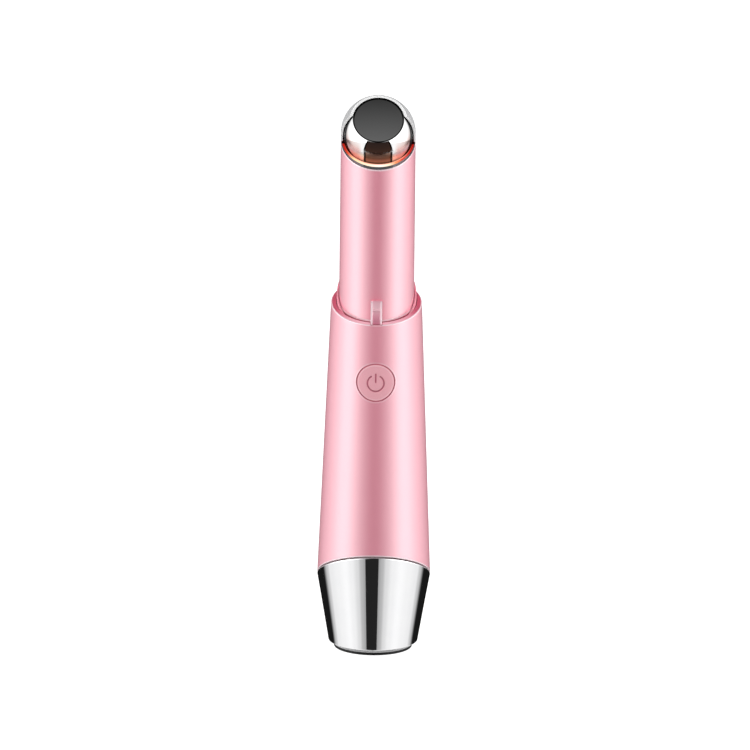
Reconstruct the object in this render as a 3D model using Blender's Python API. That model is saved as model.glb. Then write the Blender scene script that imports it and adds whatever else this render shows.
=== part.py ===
"""Eye massager: a pink handle on a chrome base, with a slim barrel that ends in a warm metal probe.

Metres, +Z up.  The origin is the middle of the foot's underside, and the button faces -Y.
Each function makes one sub-part, and the sizes that drive them all stand at the top.
"""

import math
from typing import NamedTuple

import bmesh
import bpy
from mathutils import Matrix, Vector

# Gaps and finish of the meshes
SEAT_GAP = 0.0003
SLIP_GAP = 0.00015
RUNNING_GAP = 0.0001
OVERRUN = 0.002
MERGE_DISTANCE = 0.0000001
SHARP_ANGLE = math.radians(28.0)
ROUND_SIDES = 48
MIDDLE_SIDES = 32
INNER_SIDES = 24
SMALL_SIDES = 12

# Foot and chrome base cup
FOOT_RADIUS = 0.0099
FOOT_THICKNESS = 0.0013
FOOT_EDGE = 0.0003
CUP_HEEL_RADIUS = 0.0098
CUP_HEEL_WIDTH = 0.0015
CUP_HEEL_HEIGHT = 0.0009
CUP_WALL = 0.0012
CUP_FLOOR = 0.0013
HEEL_STEPS = 4

# Handle shell, from the slanted seam up to the slanted rim
SEAM_RADIUS = 0.0144
SEAM_HEIGHT = 0.0193
SEAM_SLOPE = -0.554
SHELL_WALL = 0.0011
RIM_WIDTH = 0.0012937
RIM_RISE = 0.0070
RIM_SLOPE = 0.252
RIM_CHAMFER = 0.0002

# Collar sleeve with its snap tongue
COLLAR_WALL = 0.00045
COLLAR_RISE = 0.00217
COLLAR_SLOPE = 0.75
COLLAR_FLANGE = 0.0008
TONGUE_WIDTH = 0.0029
TONGUE_STAND = 0.00084
TONGUE_SINK = 0.0031
TONGUE_LENGTH = 0.0058
TONGUE_ROOT = 0.0010
TONGUE_TROUGH = 0.0018
TONGUE_TROUGH_DEPTH = 0.0004
TONGUE_BUMP_RADIUS = 0.0004
TONGUE_BUMP_DROP = 0.0022
NOTCH_CLEARANCE = 0.0003

# Barrel and its slanted mouth
BARREL_RADIUS = 0.00956
BARREL_WALL = 0.0012
BARREL_FLANGE = 0.0013
MOUTH_RISE = 0.0425
MOUTH_SLOPE = 0.532
MOUTH_WALL = 0.0003

# Probe, hood, light ring and trim at the head
PROBE_RISE = 0.0022
PROBE_WALL = 0.0010
PROBE_GAP = 0.0002
FACET_DEPTH = 0.00265
FACET_TILT = math.radians(43.7)
PROBE_END_ANGLE = math.radians(152.0)
PROBE_ARCS = 10
PROBE_INNER_ARCS = 5
HOOD_WALL = 0.00046
HOOD_SKIRT = 0.0090
HOOD_ARCS = 8
HOOD_INNER_ARCS = 5
HOOD_FRONT = 0.0032
HOOD_FRONT_RISE = 0.0048
HOOD_FRONT_LEAN = 0.40
HOOD_TOP_INSET = 0.00005
TRIM_WIDTH = 0.0004
TRIM_TAPER = 0.00025
TRIM_DROP = 0.00005
LIGHT_BAND = 0.00146
LIGHT_FUNNEL_DEPTH = 0.0010
LIGHT_THICKNESS = 0.0009
CRESCENT_ANGLE = math.radians(84.0)
CRESCENT_STEPS = 24
SEAT_FRONT = 0.00227368
SEAT_PLUG = 0.0033

# Parts inside the head
HEATER_INSET = 0.000703177
HEATER_THICKNESS = 0.0008
SENSOR_RADIUS = 0.0009
SENSOR_LENGTH = 0.0016
LED_BOARD_THICKNESS = 0.0008
LED_LENGTH = 0.0016
LED_WIDTH = 0.0010
LED_HEIGHT = 0.0008
LED_COUNT = 5
LED_SPREAD = math.radians(30.0)
WIRE_BORE = 0.0007

# Vibration motor in the barrel
MOTOR_HEADROOM = 0.0020
MOTOR_RADIUS = 0.0035
MOTOR_CAN_WALL = 0.0003
MOTOR_CAN_LENGTH = 0.0120
MOTOR_CAP = 0.0010
MAGNET_THICKNESS = 0.0008
MAGNET_ANGLE = math.radians(62.0)
MAGNET_STEPS = 10
ARMATURE_RADIUS = 0.0017
SHAFT_RADIUS = 0.0005
WEIGHT_RADIUS = 0.0029
WEIGHT_HEIGHT = 0.0040
WEIGHT_HUB = 0.0012
WEIGHT_HALF_ANGLE = math.radians(80.0)
SHAFT_TIP = 0.0004
HOLDER_LENGTH = 0.0112

# Base carrier and charging parts
CARRIER_FLOOR = 0.0015
CARRIER_LAP = 0.0037224
CARRIER_LOW_WALL = 0.0017
CARRIER_TOP_WALL = 0.00174370
PLATE_LEDGE = 0.0010
LEDGE_ROOM = 0.0015
SCREW_BOSS_RADIUS = 0.0019
SCREW_BOSS_HEIGHT = 0.0058
BASE_SCREW_OFFSET = 0.0064
BASE_SCREW_RADIUS = 0.00085
BASE_SCREW_HEAD = 0.0017
BASE_SCREW_HEAD_HEIGHT = 0.0009
BASE_SCREW_LENGTH = 0.0068
BASE_SCREW_RECESS = 0.0004
SOCKET_RADIUS = 0.0029
SOCKET_BORE = 0.0019
SOCKET_DEPTH = 0.0085
SOCKET_LENGTH = 0.0115
SOCKET_RECESS = 0.0004
SOCKET_PIN_RADIUS = 0.0006
SOCKET_PIN_LENGTH = 0.0070
CHARGE_BOARD_THICKNESS = 0.0010
CHARGE_CHIP = 0.0030
CHARGE_CHIP_HEIGHT = 0.0010

# Chassis, battery and circuit board
CHASSIS_WALL = 0.0011
CHASSIS_PLATE = 0.0014
CHASSIS_HOLE = 0.0050
SLOT_SIDE_ROOM = 0.0008
SLOT_FRONT_ROOM = 0.0013
BRIDGE_DEPTH = 0.0054
BRIDGE_HEIGHT = 0.0040
BATTERY_RADIUS = 0.0050
BATTERY_LENGTH = 0.0440
BATTERY_GAP = 0.0016
BATTERY_HEADROOM = 0.0057
BATTERY_BUTTON_RADIUS = 0.0017
BATTERY_BUTTON_HEIGHT = 0.0007
TAB_WIDTH = 0.0022
TAB_LENGTH = 0.0052
TAB_THICKNESS = 0.0002
BOARD_THICKNESS = 0.0010
BOARD_LIFT = 0.0028
BOARD_TOP_GAP = 0.0011
BOARD_SCREW_INSET = 0.0017
BOARD_SCREW_RADIUS = 0.0007
BOARD_SCREW_HEAD = 0.0013
BOARD_SCREW_HEAD_HEIGHT = 0.0008
BOARD_SCREW_LENGTH = 0.0045
CHIP_SIZE = 0.0050
CHIP_HEIGHT = 0.0012
CHIP_DROP = 0.0095
HEADER_SIDE = 0.0007
HEADER_HEIGHT = 0.0030
HEADER_DEPTH = 0.0016
HEADER_DROP = 0.0115
TRANSISTOR_WIDTH = 0.0017
TRANSISTOR_HEIGHT = 0.0030
TRANSISTOR_DEPTH = 0.0011
TRANSISTOR_DROP = 0.0070
TRANSISTOR_SPACING = 0.0045
CAPACITOR_RADIUS = 0.0016
CAPACITOR_HEIGHT = 0.0017
CAPACITOR_DROP = 0.0100
CAPACITOR_SPACING = 0.0048

# Power button and the push switch behind it
BUTTON_CLEARANCE = 0.0027
BUTTON_RADIUS = 0.00475
BUTTON_GAP = 0.0002
BUTTON_RECESS = 0.00005
BUTTON_FLANGE_RADIUS = 0.0056
BUTTON_FLANGE = 0.0008
BUTTON_SIDES = 40
SYMBOL_RADIUS = 0.0021
SYMBOL_LINE = 0.00043
SYMBOL_DROP = 0.0002
SYMBOL_BAR = 0.0024
SYMBOL_DEPTH = 0.0003
SYMBOL_HALF_GAP = math.radians(33.0)
SYMBOL_STEPS = 20
SWITCH_SIZE = 0.0045
SWITCH_HEIGHT = 0.0015
PLUNGER_RADIUS = 0.0010
PLUNGER_BORE_GAP = 0.0002
PLUNGER_SINK = 0.0007
PLUNGER_BORE_DEPTH = 0.0012

# Wires held inside the handle and the barrel
WIRE_RADIUS = 0.0003
WIRE_STEPS = 3
WIRE_INSET = 0.00196
WIRE_STANDOFF = 0.0004
MOTOR_WIRE_SHARE = 0.45454545
LED_WIRE_SHARE = 0.34688995
HEATER_WIRE_SHARE = 0.56220096
HEATER_BORE_DISTANCE = 0.00191202365
HEATER_BORE_ANGLE = math.radians(27.5120026)
LED_BORE_OFFSET = 0.0010
LED_BORE_INSET = 0.00216
CHARGE_WIRE_OFFSET = 0.0025
CHARGE_WIRE_LEAD = 0.0008
CHARGE_WIRE_REACH = 0.0063
BATTERY_WIRE_OFFSET = 0.0011
LOWER_BEND_SHARE = 0.39548023
UPPER_BEND_SHARE = 0.76271186


class Finish(NamedTuple):
    """Colour, roughness and metallic value of a sub-part."""
    colour: tuple
    roughness: float
    metallic: float = 0.0


PINK_SATIN = Finish((0.86, 0.42, 0.52), 0.32, 0.35)
DEEP_PINK = Finish((0.72, 0.33, 0.42), 0.40)
CHROME = Finish((0.86, 0.86, 0.88), 0.05, 1.0)
DARK_CHROME = Finish((0.16, 0.16, 0.17), 0.20, 1.0)
PALE_GREY = Finish((0.62, 0.62, 0.63), 0.35)
RED_GLOW = Finish((0.90, 0.18, 0.08), 0.30)
BLACK_PLASTIC = Finish((0.03, 0.03, 0.03), 0.45)
WHITE_PLASTIC = Finish((0.80, 0.80, 0.78), 0.50)
GREY_PLASTIC = Finish((0.28, 0.29, 0.30), 0.55)
STEEL = Finish((0.60, 0.60, 0.61), 0.30, 1.0)
BRASS = Finish((0.72, 0.55, 0.25), 0.30, 1.0)
COPPER = Finish((0.72, 0.36, 0.20), 0.35, 1.0)
GREEN_BOARD = Finish((0.03, 0.20, 0.09), 0.40)
CERAMIC = Finish((0.85, 0.84, 0.80), 0.60)
BLUE_SLEEVE = Finish((0.06, 0.16, 0.50), 0.35)
RED_WIRE = Finish((0.60, 0.04, 0.03), 0.45)


class Plane(NamedTuple):
    """The plane whose height is a value on the axis plus a slope times y."""
    height: float
    slope: float = 0.0

    def at(self, y):
        return self.height + self.slope * y

    def lifted(self, rise):
        return Plane(self.height + rise, self.slope)


class Cone(NamedTuple):
    """A round side about Z: its radius at one height, and how much it loses for each unit of rise."""
    radius: float
    taper: float = 0.0
    foot: float = 0.0

    def at(self, height):
        return self.radius - self.taper * (height - self.foot)

    def inset(self, depth):
        return Cone(self.radius - depth, self.taper, self.foot)


AXIS = Cone(0.0)

# Radii of the sleeves that fit inside one another, from the probe out to the rim
BARREL_BORE = BARREL_RADIUS - BARREL_WALL
MOUTH_BORE = BARREL_RADIUS - MOUTH_WALL
PROBE_RADIUS = BARREL_RADIUS - HOOD_WALL - PROBE_GAP
FACET_LEVEL = PROBE_RADIUS - FACET_DEPTH
LIGHT_FLAT_RADIUS = MOUTH_BORE - LIGHT_BAND
COLLAR_BORE = BARREL_RADIUS + SLIP_GAP
COLLAR_RADIUS = COLLAR_BORE + COLLAR_WALL
THROAT_RADIUS = COLLAR_RADIUS + SLIP_GAP
RIM_RADIUS = THROAT_RADIUS + RIM_WIDTH
TONGUE_REACH = COLLAR_RADIUS + TONGUE_STAND
SHAFT_BORE = SHAFT_RADIUS + RUNNING_GAP

# Levels of what stands on one another, from the foot up to the handle's rim
SEAM = Plane(SEAM_HEIGHT, SEAM_SLOPE)
CUP_BASE = FOOT_THICKNESS + SEAT_GAP
CUP_FLOOR_TOP = CUP_BASE + CUP_FLOOR
CARRIER_BASE = CUP_FLOOR_TOP + SEAT_GAP
CARRIER_FLOOR_TOP = CARRIER_BASE + CARRIER_FLOOR
CARRIER_TOP = SEAM.at(-SEAM_RADIUS) + CARRIER_LAP
SOCKET_TOP = SOCKET_RECESS + SOCKET_LENGTH
CHARGE_BOARD_BASE = SOCKET_TOP + SEAT_GAP
CHARGE_BOARD_TOP = CHARGE_BOARD_BASE + CHARGE_BOARD_THICKNESS
PLATE_LEDGE_HEIGHT = CHARGE_BOARD_TOP + SEAT_GAP + CHARGE_CHIP_HEIGHT + LEDGE_ROOM
CHASSIS_BASE = PLATE_LEDGE_HEIGHT + SEAT_GAP
BOARD_BASE = CHASSIS_BASE + CHASSIS_PLATE + BOARD_LIFT
BATTERY_BASE = BOARD_BASE + BRIDGE_HEIGHT + SEAT_GAP
BATTERY_TOP = BATTERY_BASE + BATTERY_LENGTH
BOARD_TOP = BATTERY_TOP + BATTERY_HEADROOM + BRIDGE_HEIGHT
CHASSIS_TOP = BOARD_TOP + BOARD_TOP_GAP + CHASSIS_PLATE
BARREL_BASE = CHASSIS_TOP + SEAT_GAP
BARREL_FLANGE_TOP = BARREL_BASE + BARREL_FLANGE
COLLAR_BASE = BARREL_FLANGE_TOP + SEAT_GAP
COLLAR_FLANGE_TOP = COLLAR_BASE + COLLAR_FLANGE
SHOULDER_HEIGHT = COLLAR_FLANGE_TOP + SEAT_GAP
RIM_HEIGHT = SHOULDER_HEIGHT + RIM_RISE
RIM = Plane(RIM_HEIGHT, RIM_SLOPE)
COLLAR_EDGE = Plane(RIM_HEIGHT + COLLAR_RISE, COLLAR_SLOPE)
TONGUE_BASE = RIM_HEIGHT - TONGUE_SINK
TONGUE_TOP = TONGUE_BASE + TONGUE_LENGTH
HANDLE = Cone(SEAM_RADIUS, (SEAM_RADIUS - RIM_RADIUS) / (RIM_HEIGHT - SEAM_HEIGHT), SEAM_HEIGHT)
FLANGE_RADIUS = HANDLE.inset(SHELL_WALL).at(SHOULDER_HEIGHT) - SLIP_GAP

# Bores of the base carrier and the hole for the charging socket
CARRIER_RADIUS = CUP_HEEL_RADIUS + CUP_HEEL_WIDTH - CUP_WALL - SEAT_GAP
CARRIER_LOW_BORE = CARRIER_RADIUS - CARRIER_LOW_WALL
CARRIER_TOP_BORE = HANDLE.inset(SHELL_WALL + SEAT_GAP + CARRIER_TOP_WALL).at(CARRIER_TOP)
CARRIER_MID_BORE = CARRIER_TOP_BORE - PLATE_LEDGE
SOCKET_HOLE = SOCKET_RADIUS + SEAT_GAP

# Levels at the barrel's mouth, and of the motor that hangs below the probe's seat
MOUTH = Plane(RIM_HEIGHT + MOUTH_RISE, MOUTH_SLOPE)
PROBE_CENTRE = Vector((0.0, 0.0, MOUTH.height + PROBE_RISE))
FACET_NORMAL = Vector((0.0, -math.sin(FACET_TILT), math.cos(FACET_TILT)))
LED_STACK = LED_HEIGHT + SEAT_GAP + LED_BOARD_THICKNESS + SEAT_GAP
SEAT_DEPTH = TRIM_DROP + LIGHT_FUNNEL_DEPTH + LIGHT_THICKNESS + SLIP_GAP + LED_STACK
MOUTH_STEP_HEIGHT = MOUTH.at(-MOUTH_BORE) - SEAT_DEPTH - SEAT_FRONT
SEAT_BASE = MOUTH_STEP_HEIGHT - SEAT_PLUG
SHAFT_TOP = SEAT_BASE - MOTOR_HEADROOM
WEIGHT_TOP = SHAFT_TOP - SHAFT_TIP
WEIGHT_BASE = WEIGHT_TOP - WEIGHT_HEIGHT
MOTOR_CAN_TOP = WEIGHT_BASE - SEAT_GAP
MOTOR_CAN_BASE = MOTOR_CAN_TOP - MOTOR_CAN_LENGTH
MOTOR_BASE = MOTOR_CAN_BASE - SEAT_GAP - MOTOR_CAP

# Places of the board and the battery, front to back, and of the parts down the board
WIRE_FRONT = BARREL_BORE - WIRE_INSET
BOARD_FRONT = WIRE_FRONT - WIRE_RADIUS - WIRE_STANDOFF
BOARD_BACK = BOARD_FRONT - BOARD_THICKNESS
RAIL_FRONT = BOARD_BACK - SEAT_GAP
PART_SEAT = BOARD_FRONT + SEAT_GAP
BATTERY_SETBACK = BATTERY_RADIUS + BATTERY_GAP - RAIL_FRONT
CHASSIS_INNER = BATTERY_RADIUS + SEAT_GAP
CHASSIS_OUTER = CHASSIS_INNER + CHASSIS_WALL
BUTTON_HEIGHT = BARREL_BASE - BUTTON_FLANGE_RADIUS - BUTTON_CLEARANCE
HEADER_PLACE = BUTTON_HEIGHT - HEADER_DROP
TRANSISTOR_PLACE = HEADER_PLACE - TRANSISTOR_DROP
CHIP_PLACE = TRANSISTOR_PLACE - CHIP_DROP
CAPACITOR_PLACE = CHIP_PLACE - CAPACITOR_DROP
HEATER_WIRE_OFFSET = HEATER_WIRE_SHARE * BARREL_BORE
HEATER_BORE_RADIUS = MOTOR_RADIUS + HEATER_BORE_DISTANCE


def body_from(name, shape):
    """An object from a finished bmesh, shaded smooth except over its corners."""
    mesh = bpy.data.meshes.new(name)
    shape.to_mesh(mesh)
    shape.free()
    mesh.shade_smooth()
    mesh.set_sharp_from_angle(angle=SHARP_ANGLE)
    piece = bpy.data.objects.new(name, mesh)
    bpy.context.scene.collection.objects.link(piece)
    return piece


def skin(name, sections, looped):
    """A closed body through a row of sections with equally many points; an open row gets end caps."""
    shape = bmesh.new()
    rows = [[shape.verts.new(point) for point in section] for section in sections]
    pairs = list(zip(rows, rows[1:]))
    if looped:
        pairs.append((rows[-1], rows[0]))
    else:
        shape.faces.new(rows[0])
        shape.faces.new(rows[-1])
    for here, there in pairs:
        for index, corner in enumerate(here):
            after = (index + 1) % len(here)
            shape.faces.new((corner, here[after], there[after], there[index]))
    bmesh.ops.remove_doubles(shape, verts=shape.verts, dist=MERGE_DISTANCE)
    strays = [edge for edge in shape.edges if not edge.link_faces]
    bmesh.ops.delete(shape, geom=strays, context="EDGES")
    bmesh.ops.recalc_face_normals(shape, faces=shape.faces)
    return body_from(name, shape)


def crossing(cone, plane, angle):
    """The point where a cone's side meets a plane, at an angle counted from +X about Z."""
    lean = plane.slope * math.sin(angle)
    rise = plane.height + lean * (cone.radius + cone.taper * cone.foot)
    height = rise / (1 + lean * cone.taper)
    radius = cone.at(height)
    return Vector((radius * math.cos(angle), radius * math.sin(angle), height))


def turned(name, corners, sides=ROUND_SIDES):
    """A body turned about Z, whose section's corners each lie where a cone meets a plane."""
    angles = [math.tau * step / sides for step in range(sides)]
    sections = [[crossing(cone, plane, angle) for cone, plane in corners] for angle in angles]
    return skin(name, sections, looped=True)


def tube(name, inner, outer, low, high, sides=INNER_SIDES):
    """A plain ring or sleeve between two radii and two levels."""
    floor, roof = Plane(low), Plane(high)
    corners = [(Cone(outer), floor), (Cone(outer), roof), (Cone(inner), roof), (Cone(inner), floor)]
    return turned(name, corners, sides)


def prism(name, outline, low, high):
    """A body with a flat outline in X and Y, drawn up between two levels."""
    sections = [[(x, y, level) for x, y in outline] for level in (low, high)]
    return skin(name, sections, looped=False)


def block(name, low, high):
    """A box between two opposite corners."""
    outline = [(low[0], low[1]), (high[0], low[1]), (high[0], high[1]), (low[0], high[1])]
    return prism(name, outline, low[2], high[2])


def cross_bar(name, outline, half_width):
    """A body with a flat outline in Y and Z, drawn out to both sides along X."""
    sections = [[(side, y, z) for y, z in outline] for side in (-half_width, half_width)]
    return skin(name, sections, looped=False)


def rod(name, start, end, radius, sides=SMALL_SIDES):
    """A round bar between two points."""
    start, end = Vector(start), Vector(end)
    turn = (end - start).to_track_quat("Z", "Y").to_matrix()
    angles = [math.tau * (step + 1 / 2) / sides for step in range(sides)]
    ring = [turn @ Vector((radius * math.cos(angle), radius * math.sin(angle), 0.0)) for angle in angles]
    return skin(name, [[end_point + point for point in ring] for end_point in (start, end)], looped=False)


def combine(piece, tool, operation="DIFFERENCE"):
    """Cuts, joins or intersects a piece with a hidden guide body."""
    tool.hide_render = True
    tool.display_type = "WIRE"
    step = piece.modifiers.new(tool.name, "BOOLEAN")
    step.operation = operation
    step.solver = "EXACT"
    step.object = tool
    return piece


def dress(piece, finish):
    """Gives a piece its own material."""
    material = bpy.data.materials.new(piece.name + "_finish")
    material.use_nodes = True
    shader = material.node_tree.nodes["Principled BSDF"]
    shader.inputs["Base Color"].default_value = (*finish.colour, 1.0)
    shader.inputs["Roughness"].default_value = finish.roughness
    shader.inputs["Metallic"].default_value = finish.metallic
    piece.data.materials.append(material)
    return piece


def joint_point(name, place, parent=None):
    """An empty that carries the pieces of one moving group."""
    empty = bpy.data.objects.new(name, None)
    empty.location = place if parent is None else Vector(place) - parent.location
    empty.parent = parent
    bpy.context.scene.collection.objects.link(empty)
    return empty


def hang(piece, carrier, place):
    """Moves a piece's origin to its carrier's place and parents it there."""
    piece.data.transform(Matrix.Translation(-Vector(place)))
    piece.parent = carrier
    return piece


def half_space(name, plane):
    """A guide that holds everything below a slanted plane."""
    reach = HANDLE.radius + OVERRUN
    low = min(plane.at(-reach), plane.at(reach)) - reach
    outline = [(-reach, plane.at(-reach)), (reach, plane.at(reach)), (reach, low), (-reach, low)]
    return cross_bar(name, outline, reach)


def vertical_bore(name, x, y, radius, low, high):
    """A guide for a round hole along Z."""
    return rod(name, (x, y, low), (x, y, high), radius)


def probe_edge(plane, front_angle):
    """Distance from the axis to the probe's ball in a slanted plane, at an angle from the front."""
    rise = plane.height - PROBE_CENTRE.z
    lean = plane.slope * math.cos(front_angle)
    square = 1 + lean * lean
    half = rise * lean
    rest = rise * rise - PROBE_RADIUS * PROBE_RADIUS
    return (half + math.sqrt(half * half - square * rest)) / square


def trim_edge(front_angle):
    """Distance from the axis to the trim ring's inner side: widest at the front, thin at the sides."""
    outer = MOUTH_BORE - SLIP_GAP
    return outer - TRIM_TAPER / 2 - (TRIM_WIDTH - TRIM_TAPER / 2) * math.cos(front_angle)


def front_point(distance, front_angle, plane):
    """A point of a slanted plane at a distance from the axis and an angle from the front."""
    y = -distance * math.cos(front_angle)
    return Vector((distance * math.sin(front_angle), y, plane.at(y)))


def crescent(name, corners):
    """A ring open at the back; corners are pairs of a distance function and a plane."""
    span = 2 * CRESCENT_ANGLE
    angles = [span * step / CRESCENT_STEPS - CRESCENT_ANGLE for step in range(CRESCENT_STEPS + 1)]
    sections = [[front_point(edge(angle), angle, plane) for edge, plane in corners] for angle in angles]
    return skin(name, sections, looped=False)


def both_sides(name, offset):
    """Names and x places of a pair of pieces or guides, left and right of the middle."""
    return [(name + "_left", -offset), (name + "_right", offset)]


def make_foot_disc():
    """Flat foot with a hole for the charging socket and two for the screw heads."""
    top = Plane(FOOT_THICKNESS)
    floor = Plane(0.0)
    corners = [
        (Cone(FOOT_RADIUS - FOOT_EDGE), floor),
        (Cone(FOOT_RADIUS), Plane(FOOT_EDGE)),
        (Cone(FOOT_RADIUS), top),
        (Cone(SOCKET_HOLE), top),
        (Cone(SOCKET_HOLE), floor),
    ]
    foot = turned("foot_disc", corners)
    for name, x in both_sides("foot_hole", BASE_SCREW_OFFSET):
        radius = BASE_SCREW_HEAD + SEAT_GAP
        combine(foot, vertical_bore(name, x, 0.0, radius, -OVERRUN, FOOT_THICKNESS + OVERRUN))
    return dress(foot, PALE_GREY)


def make_base_cup():
    """Chrome cup: a rounded heel, a straight side up to the slanted seam, and a floor."""
    heel = []
    for step in range(HEEL_STEPS + 1):
        angle = math.pi / 2 * step / HEEL_STEPS
        radius = CUP_HEEL_RADIUS + CUP_HEEL_WIDTH * math.sin(angle)
        heel.append((Cone(radius), Plane(CUP_BASE + CUP_HEEL_HEIGHT * (1 - math.cos(angle)))))
    inner_radius = CUP_HEEL_RADIUS + CUP_HEEL_WIDTH - CUP_WALL
    seam = SEAM.lifted(-SEAT_GAP)
    corners = heel + [
        (HANDLE, seam),
        (HANDLE.inset(CUP_WALL), seam),
        (Cone(inner_radius), Plane(CUP_FLOOR_TOP)),
        (Cone(SOCKET_HOLE), Plane(CUP_FLOOR_TOP)),
        (Cone(SOCKET_HOLE), Plane(CUP_BASE)),
    ]
    cup = turned("base_cup", corners)
    for name, x in both_sides("cup_hole", BASE_SCREW_OFFSET):
        radius = BASE_SCREW_RADIUS + SEAT_GAP
        low = CUP_BASE - OVERRUN / 2
        combine(cup, vertical_bore(name, x, 0.0, radius, low, CUP_FLOOR_TOP + OVERRUN))
    return dress(cup, CHROME)


def make_base_carrier():
    """Inner frame of the base: it plugs the cup and the handle together and holds the charging parts."""
    outer_low = Cone(CARRIER_RADIUS)
    inner_handle = HANDLE.inset(SHELL_WALL + SEAT_GAP)
    steps = [
        (CARRIER_TOP_BORE, CARRIER_TOP),
        (CARRIER_TOP_BORE, PLATE_LEDGE_HEIGHT),
        (CARRIER_MID_BORE, PLATE_LEDGE_HEIGHT),
        (CARRIER_MID_BORE, SOCKET_TOP),
        (CARRIER_LOW_BORE, SOCKET_TOP),
        (CARRIER_LOW_BORE, CARRIER_FLOOR_TOP),
        (SOCKET_HOLE, CARRIER_FLOOR_TOP),
        (SOCKET_HOLE, CARRIER_BASE),
    ]
    corners = [
        (outer_low, Plane(CARRIER_BASE)),
        (HANDLE.inset(CUP_WALL + SEAT_GAP), SEAM.lifted(-SEAT_GAP)),
        (inner_handle, SEAM.lifted(SHELL_WALL)),
        (inner_handle, Plane(CARRIER_TOP)),
    ] + [(Cone(radius), Plane(level)) for radius, level in steps]
    carrier = turned("base_carrier", corners, MIDDLE_SIDES)
    top = CARRIER_FLOOR_TOP + SCREW_BOSS_HEIGHT
    low = (CARRIER_BASE + CARRIER_FLOOR_TOP) / 2
    for name, x in both_sides("carrier_boss", BASE_SCREW_OFFSET):
        combine(carrier, vertical_bore(name, x, 0.0, SCREW_BOSS_RADIUS, low, top), "UNION")
    for name, x in both_sides("carrier_bore", BASE_SCREW_OFFSET):
        radius = BASE_SCREW_RADIUS + SEAT_GAP
        combine(carrier, vertical_bore(name, x, 0.0, radius, CARRIER_BASE - OVERRUN, top + OVERRUN))
    return dress(carrier, WHITE_PLASTIC)


def make_base_screws():
    """Two screws that hold the cup to the carrier, reached through the foot."""
    screws = []
    head_top = BASE_SCREW_RECESS + BASE_SCREW_HEAD_HEIGHT
    for name, x in both_sides("base_screw", BASE_SCREW_OFFSET):
        corners = [
            (AXIS, Plane(BASE_SCREW_RECESS)),
            (Cone(BASE_SCREW_HEAD), Plane(BASE_SCREW_RECESS)),
            (Cone(BASE_SCREW_HEAD), Plane(head_top)),
            (Cone(BASE_SCREW_RADIUS), Plane(head_top)),
            (Cone(BASE_SCREW_RADIUS), Plane(head_top + BASE_SCREW_LENGTH)),
            (AXIS, Plane(head_top + BASE_SCREW_LENGTH)),
        ]
        screw = turned(name, corners, SMALL_SIDES)
        screw.data.transform(Matrix.Translation((x, 0.0, 0.0)))
        screws.append(dress(screw, STEEL))
    return screws


def make_charging_parts():
    """Round charging socket with its contact pin, and the small board that it feeds."""
    bore_top = SOCKET_RECESS + SOCKET_DEPTH
    corners = [
        (Cone(SOCKET_RADIUS), Plane(SOCKET_RECESS)),
        (Cone(SOCKET_RADIUS), Plane(SOCKET_TOP)),
        (AXIS, Plane(SOCKET_TOP)),
        (AXIS, Plane(bore_top)),
        (Cone(SOCKET_BORE), Plane(bore_top)),
        (Cone(SOCKET_BORE), Plane(SOCKET_RECESS)),
    ]
    socket = dress(turned("charging_socket", corners, INNER_SIDES), BLACK_PLASTIC)
    pin_top = bore_top - SEAT_GAP
    pin_base = pin_top - SOCKET_PIN_LENGTH
    pin = rod("socket_pin", (0.0, 0.0, pin_base), (0.0, 0.0, pin_top), SOCKET_PIN_RADIUS)
    dress(pin, BRASS)
    radius = CARRIER_MID_BORE - SEAT_GAP
    board_ends = [(0.0, 0.0, level) for level in (CHARGE_BOARD_BASE, CHARGE_BOARD_TOP)]
    board = rod("charge_board", *board_ends, radius, INNER_SIDES)
    dress(board, GREEN_BOARD)
    half = CHARGE_CHIP / 2
    base = CHARGE_BOARD_TOP + SEAT_GAP
    chip = block("charge_chip", (-half, -half, base), (half, half, base + CHARGE_CHIP_HEIGHT))
    dress(chip, BLACK_PLASTIC)
    return [socket, pin, board, chip]


def make_body_shell():
    """Tapered handle shell, with the button's hole and the notch for the snap tongue."""
    throat = Cone(THROAT_RADIUS)
    inner = HANDLE.inset(SHELL_WALL)
    corners = [
        (HANDLE, SEAM),
        (HANDLE, RIM.lifted(-RIM_CHAMFER)),
        (HANDLE.inset(RIM_CHAMFER), RIM),
        (throat, RIM),
        (throat, Plane(SHOULDER_HEIGHT)),
        (inner, Plane(SHOULDER_HEIGHT)),
        (inner, SEAM),
    ]
    shell = turned("body_shell", corners)
    reach = HANDLE.radius + OVERRUN
    start = (0.0, -reach, BUTTON_HEIGHT)
    end = (0.0, -BOARD_FRONT, BUTTON_HEIGHT)
    combine(shell, rod("button_hole", start, end, BUTTON_RADIUS + BUTTON_GAP, BUTTON_SIDES))
    half = TONGUE_WIDTH / 2 + NOTCH_CLEARANCE
    low = (-half, -reach, TONGUE_BASE - NOTCH_CLEARANCE)
    high = (half, -BARREL_RADIUS, RIM_HEIGHT)
    combine(shell, block("tongue_notch", low, high))
    return dress(shell, PINK_SATIN)


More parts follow.
